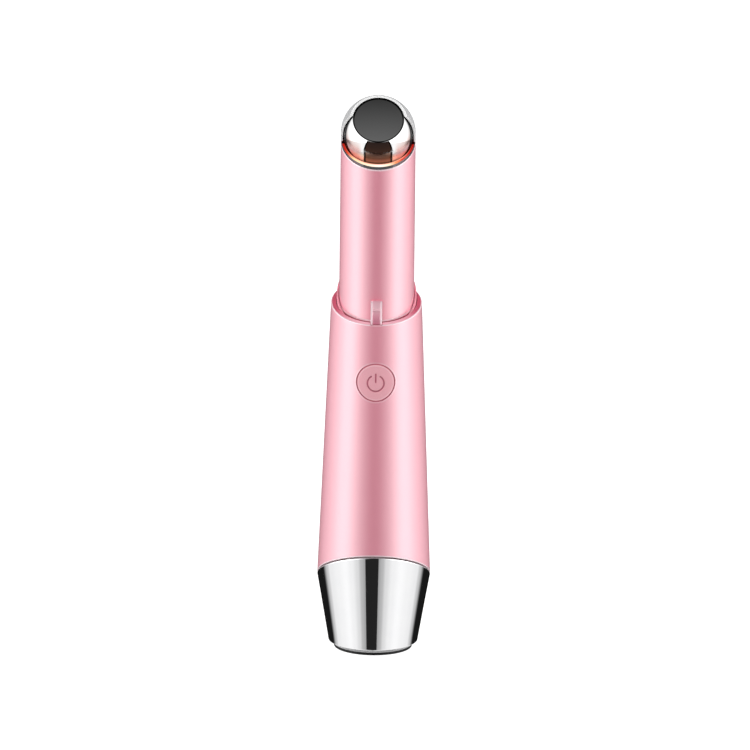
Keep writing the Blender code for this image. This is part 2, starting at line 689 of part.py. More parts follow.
def make_collar_ring():
    """Thin sleeve with a slanted edge, a flange under the shoulder and a grooved snap tongue on a stem."""
    outer, bore = Cone(COLLAR_RADIUS), Cone(COLLAR_BORE)
    corners = [
        (Cone(FLANGE_RADIUS), Plane(COLLAR_BASE)),
        (Cone(FLANGE_RADIUS), Plane(COLLAR_FLANGE_TOP)),
        (outer, Plane(COLLAR_FLANGE_TOP)),
        (outer, COLLAR_EDGE),
        (bore, COLLAR_EDGE),
        (bore, Plane(COLLAR_BASE)),
    ]
    collar = turned("collar_ring", corners)
    half = TONGUE_WIDTH / 2
    stem_half = half - SLIP_GAP
    root = COLLAR_EDGE.at(-COLLAR_RADIUS) - TONGUE_ROOT
    low = (-stem_half, -(COLLAR_RADIUS - COLLAR_WALL / 4), root)
    high = (stem_half, -(COLLAR_BORE + COLLAR_WALL / 8), TONGUE_TOP - SLIP_GAP)
    combine(collar, block("tongue_stem", low, high), "UNION")
    back = -(COLLAR_BORE + COLLAR_WALL / 3)
    tongue = block("tongue_form", (-half, -TONGUE_REACH, TONGUE_BASE), (half, back, TONGUE_TOP))
    combine(collar, tongue, "UNION")
    trough = TONGUE_TROUGH / 2
    floor = -(TONGUE_REACH - TONGUE_TROUGH_DEPTH)
    low = (-trough, -TONGUE_REACH - OVERRUN, TONGUE_BASE - OVERRUN)
    combine(collar, block("tongue_trough", low, (trough, floor, TONGUE_TOP + OVERRUN)))
    bump_y = floor + TONGUE_BUMP_RADIUS / 3
    bump_height = TONGUE_TOP - TONGUE_BUMP_DROP
    bump_ends = [(side * (trough + SLIP_GAP), bump_y, bump_height) for side in (-1, 1)]
    combine(collar, rod("tongue_bump", *bump_ends, TONGUE_BUMP_RADIUS), "UNION")
    return dress(collar, PINK_SATIN)


def make_barrel():
    """Slim pink tube with a flange at its foot and a slanted, widened mouth."""
    side = Cone(BARREL_RADIUS)
    corners = [
        (Cone(FLANGE_RADIUS), Plane(BARREL_BASE)),
        (Cone(FLANGE_RADIUS), Plane(BARREL_FLANGE_TOP)),
        (side, Plane(BARREL_FLANGE_TOP)),
        (side, MOUTH),
        (Cone(MOUTH_BORE), MOUTH),
        (Cone(MOUTH_BORE), Plane(MOUTH_STEP_HEIGHT)),
        (Cone(BARREL_BORE), Plane(MOUTH_STEP_HEIGHT)),
        (Cone(BARREL_BORE), Plane(BARREL_BASE)),
    ]
    return dress(turned("barrel", corners), PINK_SATIN)


def make_trim_ring():
    """Dark trim inside the barrel's mouth, standing on the probe's seat."""
    top = MOUTH.lifted(-TRIM_DROP)
    foot = MOUTH.lifted(SEAT_GAP - SEAT_DEPTH)
    outer = lambda angle: MOUTH_BORE - SLIP_GAP
    trim = crescent("trim_ring", [(outer, top), (trim_edge, top), (trim_edge, foot), (outer, foot)])
    return dress(trim, DARK_CHROME)


def make_light_ring():
    """Translucent crescent round the probe, flat outside and funnel-shaped inside."""
    top = MOUTH.lifted(-TRIM_DROP)
    funnel = top.lifted(-LIGHT_FUNNEL_DEPTH)
    foot = funnel.lifted(-LIGHT_THICKNESS)
    outer = lambda angle: trim_edge(angle) - SLIP_GAP
    flat = lambda angle: max(LIGHT_FLAT_RADIUS, probe_edge(MOUTH, angle) + SLIP_GAP)
    inner = lambda angle: probe_edge(funnel, angle) + PROBE_GAP
    corners = [(outer, top), (flat, top), (inner, funnel), (inner, foot), (outer, foot)]
    return dress(crescent("light_ring", corners), RED_GLOW)


def make_led_parts():
    """Curved board under the light ring, with its row of red lamps."""
    floor = MOUTH.lifted(SEAT_GAP - SEAT_DEPTH)
    roof = floor.lifted(LED_BOARD_THICKNESS)
    outer = lambda angle: trim_edge(angle) - SLIP_GAP - SLIP_GAP
    inner = lambda angle: probe_edge(roof, angle) + SEAT_GAP
    board = crescent("led_board", [(outer, roof), (inner, roof), (inner, floor), (outer, floor)])
    dress(board, GREEN_BOARD)
    lamp_foot = roof.lifted(SEAT_GAP)
    lamp_top = lamp_foot.lifted(LED_HEIGHT)
    lamps = []
    for index in range(LED_COUNT):
        angle = (index - (LED_COUNT - 1) / 2) * LED_SPREAD
        middle = (outer(angle) + probe_edge(lamp_top, angle)) / 2
        out = Vector((math.sin(angle), -math.cos(angle)))
        along = Vector((math.cos(angle), math.sin(angle)))
        shares = ((-1, -1), (1, -1), (1, 1), (-1, 1))
        outline = [out * (middle + u * LED_WIDTH / 2) + along * v * LED_LENGTH / 2 for u, v in shares]
        sections = [[(x, y, plane.at(y)) for x, y in outline] for plane in (lamp_foot, lamp_top)]
        lamps.append(dress(skin("red_led_" + str(index + 1), sections, looped=False), RED_GLOW))
    return [board] + lamps


def ball_arc(radius, start, end, steps, centre_height=0.0):
    """Corners of a section along a ball's side, by the angle from its top."""
    angles = [start + (end - start) * step / steps for step in range(steps + 1)]
    return [(Cone(radius * math.sin(a)), Plane(centre_height + radius * math.cos(a))) for a in angles]


def make_massage_head(head):
    """Hollow metal ball with a flat round face, open towards its seat in the barrel."""
    inner_radius = PROBE_RADIUS - PROBE_WALL
    inner_level = FACET_LEVEL - PROBE_WALL
    outer_start = math.acos(FACET_LEVEL / PROBE_RADIUS)
    inner_start = math.acos(inner_level / inner_radius)
    outer = ball_arc(PROBE_RADIUS, outer_start, PROBE_END_ANGLE, PROBE_ARCS)
    inner = ball_arc(inner_radius, PROBE_END_ANGLE, inner_start, PROBE_INNER_ARCS)
    corners = [(AXIS, Plane(FACET_LEVEL))] + outer + inner + [(AXIS, Plane(inner_level))]
    probe = turned("massage_head", corners)
    probe.parent = head
    floor = MOUTH.lifted(2 * SEAT_GAP - SEAT_DEPTH)
    combine(probe, half_space("probe_foot", floor))
    return dress(probe, CHROME)


def make_head_hood():
    """Thin grey shell behind the probe: a dome over a round skirt, cut open at the front."""
    centre = PROBE_CENTRE.z
    quarter = math.pi / 2
    inner_radius = BARREL_RADIUS - HOOD_WALL
    outer = ball_arc(BARREL_RADIUS, 0.0, quarter, HOOD_ARCS, centre)
    inner = ball_arc(inner_radius, quarter, 0.0, HOOD_INNER_ARCS, centre)
    foot = Plane(centre - HOOD_SKIRT)
    hood = turned("head_hood", outer + [(Cone(BARREL_RADIUS), foot), (Cone(inner_radius), foot)] + inner)
    combine(hood, half_space("hood_foot", MOUTH.lifted(SLIP_GAP)))
    reach = BARREL_RADIUS + OVERRUN
    top_y = HOOD_FRONT_LEAN * (HOOD_FRONT_RISE - reach) - HOOD_FRONT
    foot_y = HOOD_FRONT_LEAN * (HOOD_FRONT_RISE + reach) - HOOD_FRONT
    low, high = centre - reach, centre + reach
    outline = [(-reach, low), (foot_y, low), (top_y, high), (-reach, high)]
    combine(hood, cross_bar("hood_front", outline, reach))
    low = FACET_LEVEL - HOOD_TOP_INSET
    facet = block("hood_face", (-reach, -reach, low), (reach, reach, low + reach))
    facet.location = PROBE_CENTRE
    facet.rotation_euler = (FACET_TILT, 0.0, 0.0)
    combine(hood, facet)
    return dress(hood, PALE_GREY)


def make_probe_seat():
    """Plastic plug in the barrel's mouth that carries the probe, the trim and the light."""
    plug = Cone(BARREL_BORE - SEAT_GAP)
    upper = Cone(MOUTH_BORE - SEAT_GAP)
    step = Plane(MOUTH_STEP_HEIGHT + SEAT_GAP)
    base = Plane(SEAT_BASE)
    top = MOUTH.lifted(-SEAT_DEPTH)
    corners = [(AXIS, base), (plug, base), (plug, step), (upper, step), (upper, top), (AXIS, top)]
    seat = turned("probe_seat", corners, MIDDLE_SIDES)
    roof = MOUTH.at(BARREL_RADIUS)
    for name, x, y in wire_bores("seat_bore_"):
        combine(seat, vertical_bore(name, x, y, WIRE_BORE, base.height - OVERRUN, roof))
    return dress(seat, BLACK_PLASTIC)


def wire_bores(name):
    """Places of the four wire holes in the seat and the motor holder."""
    heater, lamps = heater_bore(), lamp_bore()
    places = [(side * x, y) for x, y in (heater, lamps) for side in (-1, 1)]
    return [(name + str(index), x, y) for index, (x, y) in enumerate(places)]


def heater_bore():
    """Place of the right heater wire's hole, beside the motor."""
    angle = HEATER_BORE_ANGLE
    return HEATER_BORE_RADIUS * math.cos(angle), HEATER_BORE_RADIUS * math.sin(angle)


def lamp_bore():
    """Place of the right lamp wire's hole, near the barrel's front wall."""
    return LED_BORE_OFFSET, LED_BORE_INSET - BARREL_BORE


def heater_radius():
    """Radius of the heating disc: the hollow's flat face less a margin."""
    hollow, level = PROBE_RADIUS - PROBE_WALL, FACET_LEVEL - PROBE_WALL
    return math.sqrt(hollow * hollow - level * level) - HEATER_INSET


def make_heater_parts(head):
    """Heating disc behind the probe's flat face, and the temperature sensor behind the disc."""
    heater_top = FACET_LEVEL - PROBE_WALL - SEAT_GAP
    heater_base = heater_top - HEATER_THICKNESS
    heater_ends = [(0.0, 0.0, level) for level in (heater_base, heater_top)]
    heater = rod("heater_plate", *heater_ends, heater_radius(), INNER_SIDES)
    heater.parent = head
    dress(heater, CERAMIC)
    sensor_top = heater_base - SEAT_GAP
    sensor_base = sensor_top - SENSOR_LENGTH
    sensor = rod("temperature_sensor", (0.0, 0.0, sensor_base), (0.0, 0.0, sensor_top), SENSOR_RADIUS)
    sensor.parent = head
    dress(sensor, BLACK_PLASTIC)
    return [heater, sensor]


def make_motor_holder():
    """Plastic sleeve that holds the motor in the barrel and lets four wires pass."""
    high = MOTOR_BASE + HOLDER_LENGTH
    inner, outer = MOTOR_RADIUS + SEAT_GAP, BARREL_BORE - SEAT_GAP
    holder = tube("motor_holder", inner, outer, MOTOR_BASE, high, MIDDLE_SIDES)
    for name, x, y in wire_bores("holder_bore_"):
        combine(holder, vertical_bore(name, x, y, WIRE_BORE, MOTOR_BASE - OVERRUN, high + OVERRUN))
    return dress(holder, GREY_PLASTIC)


def make_motor_case():
    """Steel can, its end cap and the two curved magnets inside."""
    wall_radius = MOTOR_RADIUS - MOTOR_CAN_WALL
    ceiling = Plane(MOTOR_CAN_TOP - MOTOR_CAN_WALL)
    corners = [
        (Cone(MOTOR_RADIUS), Plane(MOTOR_CAN_BASE)),
        (Cone(MOTOR_RADIUS), Plane(MOTOR_CAN_TOP)),
        (Cone(SHAFT_BORE), Plane(MOTOR_CAN_TOP)),
        (Cone(SHAFT_BORE), ceiling),
        (Cone(wall_radius), ceiling),
        (Cone(wall_radius), Plane(MOTOR_CAN_BASE)),
    ]
    can = dress(turned("motor_can", corners, INNER_SIDES), STEEL)
    cap = tube("motor_end_cap", SHAFT_BORE, MOTOR_RADIUS, MOTOR_BASE, MOTOR_BASE + MOTOR_CAP)
    dress(cap, WHITE_PLASTIC)
    outer = wall_radius - SEAT_GAP
    inner = outer - MAGNET_THICKNESS
    low = Plane(MOTOR_CAN_BASE + SEAT_GAP)
    high = ceiling.lifted(-SEAT_GAP)
    magnets = []
    for name, middle in (("motor_magnet_right", 0.0), ("motor_magnet_left", math.pi)):
        angles = [middle + MAGNET_ANGLE * (2 * step / MAGNET_STEPS - 1) for step in range(MAGNET_STEPS + 1)]
        ring = ((outer, low), (outer, high), (inner, high), (inner, low))
        sections = [[crossing(Cone(radius), plane, angle) for radius, plane in ring] for angle in angles]
        magnets.append(dress(skin(name, sections, looped=False), GREY_PLASTIC))
    return [can, cap] + magnets


def make_rotor(rotor):
    """What spins: the shaft, the wound armature and the half-round weight that shakes the head."""
    shaft = rod("motor_shaft", (0.0, 0.0, MOTOR_BASE + RUNNING_GAP), (0.0, 0.0, SHAFT_TOP), SHAFT_RADIUS)
    dress(shaft, STEEL)
    low = MOTOR_CAN_BASE + 2 * SEAT_GAP
    high = MOTOR_CAN_TOP - MOTOR_CAN_WALL - 2 * SEAT_GAP
    armature = dress(tube("motor_armature", SHAFT_BORE, ARMATURE_RADIUS, low, high, SMALL_SIDES), COPPER)
    steps = SMALL_SIDES
    sweep = [WEIGHT_HALF_ANGLE * (2 * step / steps - 1) for step in range(steps + 1)]
    outline = [(WEIGHT_RADIUS * math.sin(a), WEIGHT_RADIUS * math.cos(a)) for a in sweep]
    back = [math.pi - WEIGHT_HALF_ANGLE + 2 * WEIGHT_HALF_ANGLE * step / steps for step in range(steps + 1)]
    outline += [(WEIGHT_HUB * math.sin(a), WEIGHT_HUB * math.cos(a)) for a in back]
    weight = prism("eccentric_weight", outline, WEIGHT_BASE, WEIGHT_TOP)
    bore = vertical_bore("weight_bore", 0.0, 0.0, SHAFT_BORE, WEIGHT_BASE - OVERRUN, WEIGHT_TOP + OVERRUN)
    combine(weight, bore)
    dress(weight, STEEL)
    return [hang(piece, rotor, (0.0, 0.0, MOTOR_BASE)) for piece in (shaft, armature, weight)]


def rail_arc(radius, start, end):
    """Half circle round the battery, as points in X and Y."""
    angles = [start + (end - start) * step / SMALL_SIDES for step in range(SMALL_SIDES + 1)]
    return [(radius * math.cos(a), BATTERY_SETBACK + radius * math.sin(a)) for a in angles]


def make_chassis():
    """Long trough behind the battery, with end plates, two cross bridges and the board's rails."""
    inner, outer = CHASSIS_INNER, CHASSIS_OUTER
    outline = [(outer, -RAIL_FRONT)] + rail_arc(outer, 0.0, math.pi) + [(-outer, -RAIL_FRONT)]
    outline += [(-inner, -RAIL_FRONT)] + rail_arc(inner, math.pi, 0.0) + [(inner, -RAIL_FRONT)]
    low_plate = CHASSIS_BASE + CHASSIS_PLATE
    high_plate = CHASSIS_TOP - CHASSIS_PLATE
    chassis = prism("chassis", outline, low_plate - CHASSIS_PLATE / 2, high_plate + CHASSIS_PLATE / 2)
    foot_radius = CARRIER_TOP_BORE - SEAT_GAP
    foot = rod("chassis_foot", (0.0, 0.0, CHASSIS_BASE), (0.0, 0.0, low_plate), foot_radius, MIDDLE_SIDES)
    combine(chassis, foot, "UNION")
    top_radius = FLANGE_RADIUS - SEAT_GAP
    crown = tube("chassis_crown", CHASSIS_HOLE, top_radius, high_plate, CHASSIS_TOP, MIDDLE_SIDES)
    combine(chassis, crown, "UNION")
    bridges = (("lower_bridge", BOARD_BASE), ("upper_bridge", BOARD_TOP - BRIDGE_HEIGHT))
    side = (inner + outer) / 2
    for name, level in bridges:
        low = (-side, SLIP_GAP - RAIL_FRONT, level)
        high = (side, BRIDGE_DEPTH - RAIL_FRONT, level + BRIDGE_HEIGHT)
        combine(chassis, block(name, low, high), "UNION")
    for name, level in screw_levels("chassis_bore_"):
        start = (0.0, -RAIL_FRONT - OVERRUN, level)
        end = (0.0, BRIDGE_DEPTH - RAIL_FRONT - SEAT_GAP, level)
        combine(chassis, rod(name, start, end, BOARD_SCREW_RADIUS + SEAT_GAP))
    half = HEATER_WIRE_OFFSET + SLOT_SIDE_ROOM
    front = -WIRE_FRONT - SLOT_FRONT_ROOM
    back = SLOT_SIDE_ROOM - WIRE_FRONT
    low = (-half, front, high_plate - OVERRUN)
    combine(chassis, block("crown_slot", low, (half, back, CHASSIS_TOP + OVERRUN)))
    low = (-half, front, CHASSIS_BASE - OVERRUN)
    combine(chassis, block("foot_slot", low, (half, back, low_plate + OVERRUN)))
    return dress(chassis, GREY_PLASTIC)


def screw_levels(name):
    """Names and heights of the two board screws."""
    return [(name + "low", BOARD_BASE + BOARD_SCREW_INSET), (name + "high", BOARD_TOP - BOARD_SCREW_INSET)]


def make_circuit_board():
    """Long narrow board in front of the battery, held by two screws."""
    low = (-CHASSIS_OUTER, -BOARD_FRONT, BOARD_BASE)
    board = block("circuit_board", low, (CHASSIS_OUTER, -BOARD_BACK, BOARD_TOP))
    for name, level in screw_levels("board_hole_"):
        start = (0.0, -BOARD_FRONT - OVERRUN, level)
        end = (0.0, -BOARD_BACK + OVERRUN, level)
        combine(board, rod(name, start, end, BOARD_SCREW_RADIUS + SEAT_GAP))
    return dress(board, GREEN_BOARD)


def make_board_screws():
    """Two small screws through the circuit board into the chassis."""
    screws = []
    for name, level in screw_levels("board_screw_"):
        corners = [
            (AXIS, Plane(BOARD_SCREW_HEAD_HEIGHT)),
            (Cone(BOARD_SCREW_HEAD), Plane(BOARD_SCREW_HEAD_HEIGHT)),
            (Cone(BOARD_SCREW_HEAD), Plane(0.0)),
            (Cone(BOARD_SCREW_RADIUS), Plane(0.0)),
            (Cone(BOARD_SCREW_RADIUS), Plane(-BOARD_SCREW_LENGTH)),
            (AXIS, Plane(-BOARD_SCREW_LENGTH)),
        ]
        screw = turned(name, corners, SMALL_SIDES)
        screw.data.transform(Matrix.Rotation(math.pi / 2, 4, "X"))
        screw.data.transform(Matrix.Translation((0.0, -PART_SEAT, level)))
        screws.append(dress(screw, STEEL))
    return screws


def on_board(name, x, level, width, height, depth):
    """A rectangular component on the front of the circuit board, by the middle of its footprint."""
    low = (x - width / 2, -PART_SEAT - depth, level - height / 2)
    return block(name, low, (x + width / 2, -PART_SEAT, level + height / 2))


def make_board_parts():
    """Control chip, drive transistors, capacitors and the plug strip for the wires."""
    chip = on_board("control_chip", 0.0, CHIP_PLACE, CHIP_SIZE, CHIP_SIZE, CHIP_HEIGHT)
    dress(chip, BLACK_PLASTIC)
    width = 2 * (HEATER_WIRE_OFFSET + HEADER_SIDE)
    header = on_board("wire_header", 0.0, HEADER_PLACE, width, HEADER_HEIGHT, HEADER_DEPTH)
    dress(header, WHITE_PLASTIC)
    parts = [chip, header]
    size = (TRANSISTOR_WIDTH, TRANSISTOR_HEIGHT, TRANSISTOR_DEPTH)
    for name, x in both_sides("drive_transistor", TRANSISTOR_SPACING / 2):
        parts.append(dress(on_board(name, x, TRANSISTOR_PLACE, *size), BLACK_PLASTIC))
    for name, x in both_sides("board_capacitor", CAPACITOR_SPACING / 2):
        start = (x, -PART_SEAT, CAPACITOR_PLACE)
        end = (x, -PART_SEAT - CAPACITOR_HEIGHT, CAPACITOR_PLACE)
        parts.append(dress(rod(name, start, end, CAPACITOR_RADIUS), BRASS))
    return parts


def make_battery():
    """Round lithium cell with a raised pole, and the metal tab on its top."""
    pole = Cone(BATTERY_BUTTON_RADIUS)
    side = Cone(BATTERY_RADIUS)
    corners = [
        (AXIS, Plane(BATTERY_BASE)),
        (side, Plane(BATTERY_BASE)),
        (side, Plane(BATTERY_TOP)),
        (pole, Plane(BATTERY_TOP)),
        (pole, Plane(BATTERY_TOP + BATTERY_BUTTON_HEIGHT)),
        (AXIS, Plane(BATTERY_TOP + BATTERY_BUTTON_HEIGHT)),
    ]
    cell = turned("battery_cell", corners, INNER_SIDES)
    cell.data.transform(Matrix.Translation((0.0, BATTERY_SETBACK, 0.0)))
    dress(cell, BLUE_SLEEVE)
    half = TAB_WIDTH / 2
    base = BATTERY_TOP + BATTERY_BUTTON_HEIGHT + SEAT_GAP
    front = BATTERY_SETBACK - TAB_LENGTH / 2
    back = BATTERY_SETBACK + TAB_LENGTH / 2
    tab = block("battery_tab", (-half, front, base), (half, back, base + TAB_THICKNESS))
    return [cell, dress(tab, STEEL)]


def make_power_button(carrier, place):
    """Round button whose face follows the handle, with an engraved power symbol and a stop flange."""
    reach = HANDLE.radius + OVERRUN
    flange_front = button_flange_front()
    flange_back = flange_front + BUTTON_FLANGE
    start = (0.0, -reach, BUTTON_HEIGHT)
    middle = (0.0, flange_front + BUTTON_FLANGE / 2, BUTTON_HEIGHT)
    button = rod("power_button", start, middle, BUTTON_RADIUS, BUTTON_SIDES)
    face = HANDLE.inset(BUTTON_RECESS)
    low, high = Plane(BUTTON_HEIGHT - reach), Plane(BUTTON_HEIGHT + reach)
    form = turned("button_form", [(AXIS, low), (face, low), (face, high), (AXIS, high)])
    combine(button, form, "INTERSECT")
    start = (0.0, flange_front, BUTTON_HEIGHT)
    end = (0.0, flange_back, BUTTON_HEIGHT)
    combine(button, rod("button_flange", start, end, BUTTON_FLANGE_RADIUS, BUTTON_SIDES), "UNION")
    depth = -(face.at(BUTTON_HEIGHT) - SYMBOL_DEPTH)
    inner, outer = SYMBOL_RADIUS - SYMBOL_LINE / 2, SYMBOL_RADIUS + SYMBOL_LINE / 2
    ring_height = BUTTON_HEIGHT - SYMBOL_DROP
    sweep = math.tau - 2 * SYMBOL_HALF_GAP
    angles = [SYMBOL_HALF_GAP + sweep * step / SYMBOL_STEPS for step in range(SYMBOL_STEPS + 1)]
    ring = ((inner, -reach), (outer, -reach), (outer, depth), (inner, depth))
    sections = [[(r * math.sin(a), y, ring_height + r * math.cos(a)) for r, y in ring] for a in angles]
    combine(button, skin("symbol_ring", sections, looped=False))
    half = SYMBOL_LINE / 2
    low = (-half, -reach, BUTTON_HEIGHT)
    combine(button, block("symbol_bar", low, (half, depth, BUTTON_HEIGHT + SYMBOL_BAR)))
    dress(button, DEEP_PINK)
    return hang(button, carrier, place)


def button_flange_front():
    """Depth of the button's flange: it stops against the shell's inner side left and right of the hole."""
    wall = HANDLE.inset(SHELL_WALL).at(BUTTON_HEIGHT)
    return SEAT_GAP - math.sqrt(wall * wall - BUTTON_FLANGE_RADIUS * BUTTON_FLANGE_RADIUS)


def make_switch_body():
    """Square push switch on the circuit board, with the bore that its plunger moves in."""
    body = on_board("switch_body", 0.0, BUTTON_HEIGHT, SWITCH_SIZE, SWITCH_SIZE, SWITCH_HEIGHT)
    front = -PART_SEAT - SWITCH_HEIGHT
    start = (0.0, front - OVERRUN, BUTTON_HEIGHT)
    end = (0.0, front + PLUNGER_BORE_DEPTH, BUTTON_HEIGHT)
    combine(body, rod("plunger_bore", start, end, PLUNGER_RADIUS + PLUNGER_BORE_GAP))
    return dress(body, BLACK_PLASTIC)


def make_switch_plunger(carrier, place):
    """Round plunger between the button's back and the switch."""
    tip = button_flange_front() + BUTTON_FLANGE + SEAT_GAP
    end = -PART_SEAT - SWITCH_HEIGHT + PLUNGER_SINK
    start, end = (0.0, tip, BUTTON_HEIGHT), (0.0, end, BUTTON_HEIGHT)
    return hang(dress(rod("switch_plunger", start, end, PLUNGER_RADIUS), BRASS), carrier, place)


def smooth_route(points):
    """A smooth curve through a route's points, read at even steps between them."""
    ends = [points[0]] + list(points) + [points[-1]]
    route = []
    for before, start, end, after in zip(ends, ends[1:], ends[2:], ends[3:]):
        for step in range(WIRE_STEPS):
            t = step / WIRE_STEPS
            bend = 2 * start + t * (end - before)
            bend += t * t * (2 * before - 5 * start + 4 * end - after)
            bend += t * t * t * (3 * start - before - 3 * end + after)
            route.append(bend / 2)
    return route + [points[-1]]


def wire_pair(name, route, finish):
    """Two thin insulated wires along one route and its mirror image."""
    pair = []
    for side_name, side in both_sides(name, 1):
        curve = bpy.data.curves.new(side_name, "CURVE")
        curve.dimensions = "3D"
        curve.bevel_depth = WIRE_RADIUS
        curve.bevel_resolution = 1
        curve.use_fill_caps = True
        path = smooth_route([Vector((side * x, y, z)) for x, y, z in route])
        spline = curve.splines.new("POLY")
        spline.points.add(len(path) - 1)
        for point, place in zip(spline.points, path):
            point.co = (*place, 1.0)
        piece = bpy.data.objects.new(side_name, curve)
        bpy.context.scene.collection.objects.link(piece)
        pair.append(dress(piece, finish))
    return pair


def make_wires():
    """Wires from the plug strip to motor, lamps and heater, and those of the battery and socket."""
    start = HEADER_PLACE + HEADER_HEIGHT / 2 + SEAT_GAP
    motor_end = MOTOR_BASE - SEAT_GAP
    rise = MOTOR_BASE - CHASSIS_TOP
    lower_bend = CHASSIS_TOP + LOWER_BEND_SHARE * rise
    upper_bend = CHASSIS_TOP + UPPER_BEND_SHARE * rise
    offset = MOTOR_WIRE_SHARE * BARREL_BORE
    motor = [
        (offset, -WIRE_FRONT, start),
        (offset, -WIRE_FRONT, CHASSIS_TOP),
        (MOTOR_RADIUS, -MOTOR_RADIUS, lower_bend),
        (MOTOR_RADIUS / 2, -MOTOR_RADIUS / 2, upper_bend),
        (MOTOR_RADIUS / 2, -MOTOR_RADIUS / 2, motor_end),
    ]
    offset = LED_WIRE_SHARE * BARREL_BORE
    bore_x, bore_y = lamp_bore()
    lamps = [
        (offset, -WIRE_FRONT, start),
        (offset, -WIRE_FRONT, CHASSIS_TOP),
        (bore_x, bore_y, lower_bend),
        (bore_x, bore_y, upper_bend),
        (bore_x, bore_y, MOUTH.at(bore_y) - SEAT_DEPTH),
    ]
    heater_back = PROBE_CENTRE + FACET_NORMAL * (FACET_LEVEL - PROBE_WALL - HEATER_THICKNESS - 4 * SEAT_GAP)
    bore_x, bore_y = heater_bore()
    heater = [
        (HEATER_WIRE_OFFSET, -WIRE_FRONT, start),
        (HEATER_WIRE_OFFSET, -WIRE_FRONT, CHASSIS_TOP),
        (bore_x, -bore_y, lower_bend),
        (bore_x, bore_y, upper_bend),
        (bore_x, bore_y, MOTOR_BASE),
        (bore_x, bore_y, MOUTH_STEP_HEIGHT + SEAT_DEPTH),
        (bore_x, bore_y, MOUTH.at(bore_y) - SEAT_DEPTH),
        (heater_radius() / 2, heater_back.y, heater_back.z),
    ]
    charge = [
        (CHARGE_WIRE_OFFSET, -WIRE_FRONT - CHARGE_WIRE_LEAD, CHARGE_BOARD_TOP + SEAT_GAP),
        (CHARGE_WIRE_OFFSET, -WIRE_FRONT - CHARGE_WIRE_LEAD, CHASSIS_BASE + CHASSIS_PLATE),
        (CHARGE_WIRE_OFFSET, -WIRE_FRONT, BOARD_BASE + BOARD_SCREW_INSET),
        (CHARGE_WIRE_OFFSET, -WIRE_FRONT, BOARD_BASE + CHARGE_WIRE_REACH),
    ]
    tab_top = BATTERY_TOP + BATTERY_BUTTON_HEIGHT + SEAT_GAP + TAB_THICKNESS
    level = tab_top + 2 * WIRE_RADIUS + SEAT_GAP
    battery = [
        (BATTERY_WIRE_OFFSET, BATTERY_SETBACK, level),
        (BATTERY_WIRE_OFFSET, 0.0, level),
        (BATTERY_WIRE_OFFSET, -RAIL_FRONT, level),
    ]
    pieces = wire_pair("motor_wire", motor, RED_WIRE)
    pieces += wire_pair("led_wire", lamps, WHITE_PLASTIC)
    pieces += wire_pair("heater_wire", heater, RED_WIRE)
    pieces += wire_pair("charge_wire", charge, RED_WIRE)
    return pieces + wire_pair("battery_wire", battery, BLACK_PLASTIC)


def main():
    for leftover in list(bpy.data.objects):
        bpy.data.objects.remove(leftover, do_unlink=True)
    wand = joint_point("wand", Vector((0.0, 0.0, 0.0)))
    rotor = joint_point("rotor_axis", Vector((0.0, 0.0, MOTOR_BASE)), wand)
    head = joint_point("probe_axis", PROBE_CENTRE, wand)
    head.rotation_euler = (FACET_TILT, 0.0, 0.0)
    button_place = Vector((0.0, button_flange_front(), BUTTON_HEIGHT))
    button_axis = joint_point("button_axis", button_place, wand)
    plunger_place = Vector((0.0, -PART_SEAT - SWITCH_HEIGHT, BUTTON_HEIGHT))
    plunger_axis = joint_point("plunger_axis", plunger_place, wand)

    fixed = [make_foot_disc(), make_base_cup(), make_base_carrier()]
    fixed += make_base_screws()
    fixed += make_charging_parts()
    fixed += [make_body_shell(), make_collar_ring(), make_barrel(), make_trim_ring(), make_light_ring()]
    fixed += make_led_parts()
    fixed += [make_head_hood(), make_probe_seat(), make_motor_holder()]
    fixed += make_motor_case()
    fixed += [make_chassis(), make_circuit_board(), make_switch_body()]
    fixed += make_board_screws()
    fixed += make_board_parts()
    fixed += make_battery()
    fixed += make_wires()
    for piece in fixed:
        piece.parent = wand
    make_massage_head(head)
    make_heater_parts(head)
    make_rotor(rotor)
    make_power_button(button_axis, button_place)
    make_switch_plunger(plunger_axis, plunger_place)


main()
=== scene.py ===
"""Pink eye massager wand, standing on its chrome cup in a white studio.

Lengths are metres, +Z is up and the button faces -Y. A section line is worked out in radius and height for
every angle round the wand at once, so a slanted cut is one formula and not a carved piece.
"""

import math
from typing import NamedTuple

import bpy
import numpy as np
from mathutils import Matrix, Vector


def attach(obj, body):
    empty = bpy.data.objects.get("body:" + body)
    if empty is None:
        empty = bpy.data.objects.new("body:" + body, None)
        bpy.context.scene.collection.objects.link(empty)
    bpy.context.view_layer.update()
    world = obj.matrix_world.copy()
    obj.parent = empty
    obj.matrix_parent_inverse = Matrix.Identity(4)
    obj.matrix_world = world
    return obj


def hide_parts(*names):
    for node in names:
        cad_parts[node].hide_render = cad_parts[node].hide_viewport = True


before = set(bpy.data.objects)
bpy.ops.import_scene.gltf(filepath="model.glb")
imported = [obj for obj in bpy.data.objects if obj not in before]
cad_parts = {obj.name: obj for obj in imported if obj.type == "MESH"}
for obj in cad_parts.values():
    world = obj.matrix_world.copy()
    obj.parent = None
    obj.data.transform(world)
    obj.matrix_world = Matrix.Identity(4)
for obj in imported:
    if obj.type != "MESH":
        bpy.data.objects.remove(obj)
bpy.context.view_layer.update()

# Clearances, how finely the surfaces are drawn, and the longest steps along them
SEAT_GAP = 0.0003
SLIP_GAP = 0.00015
ROUND = 256
DRILL_ROUND = 32
HOLE_ROUND = 160
BUTTON_ROUND = 320
CRESCENT_ROUND = 193
HOOD_ROWS = 64
ARC_STEPS = 6
LONG_STEP = 0.003
HANDLE_STEP = 0.0012
BARREL_STEP = 0.004

# In the blocks below, ROUNDS are the corner radii of a section, in its own order. A DRILL is a radius and the
# two levels that it runs between, and a CUTTER is how far a cutting block reaches.

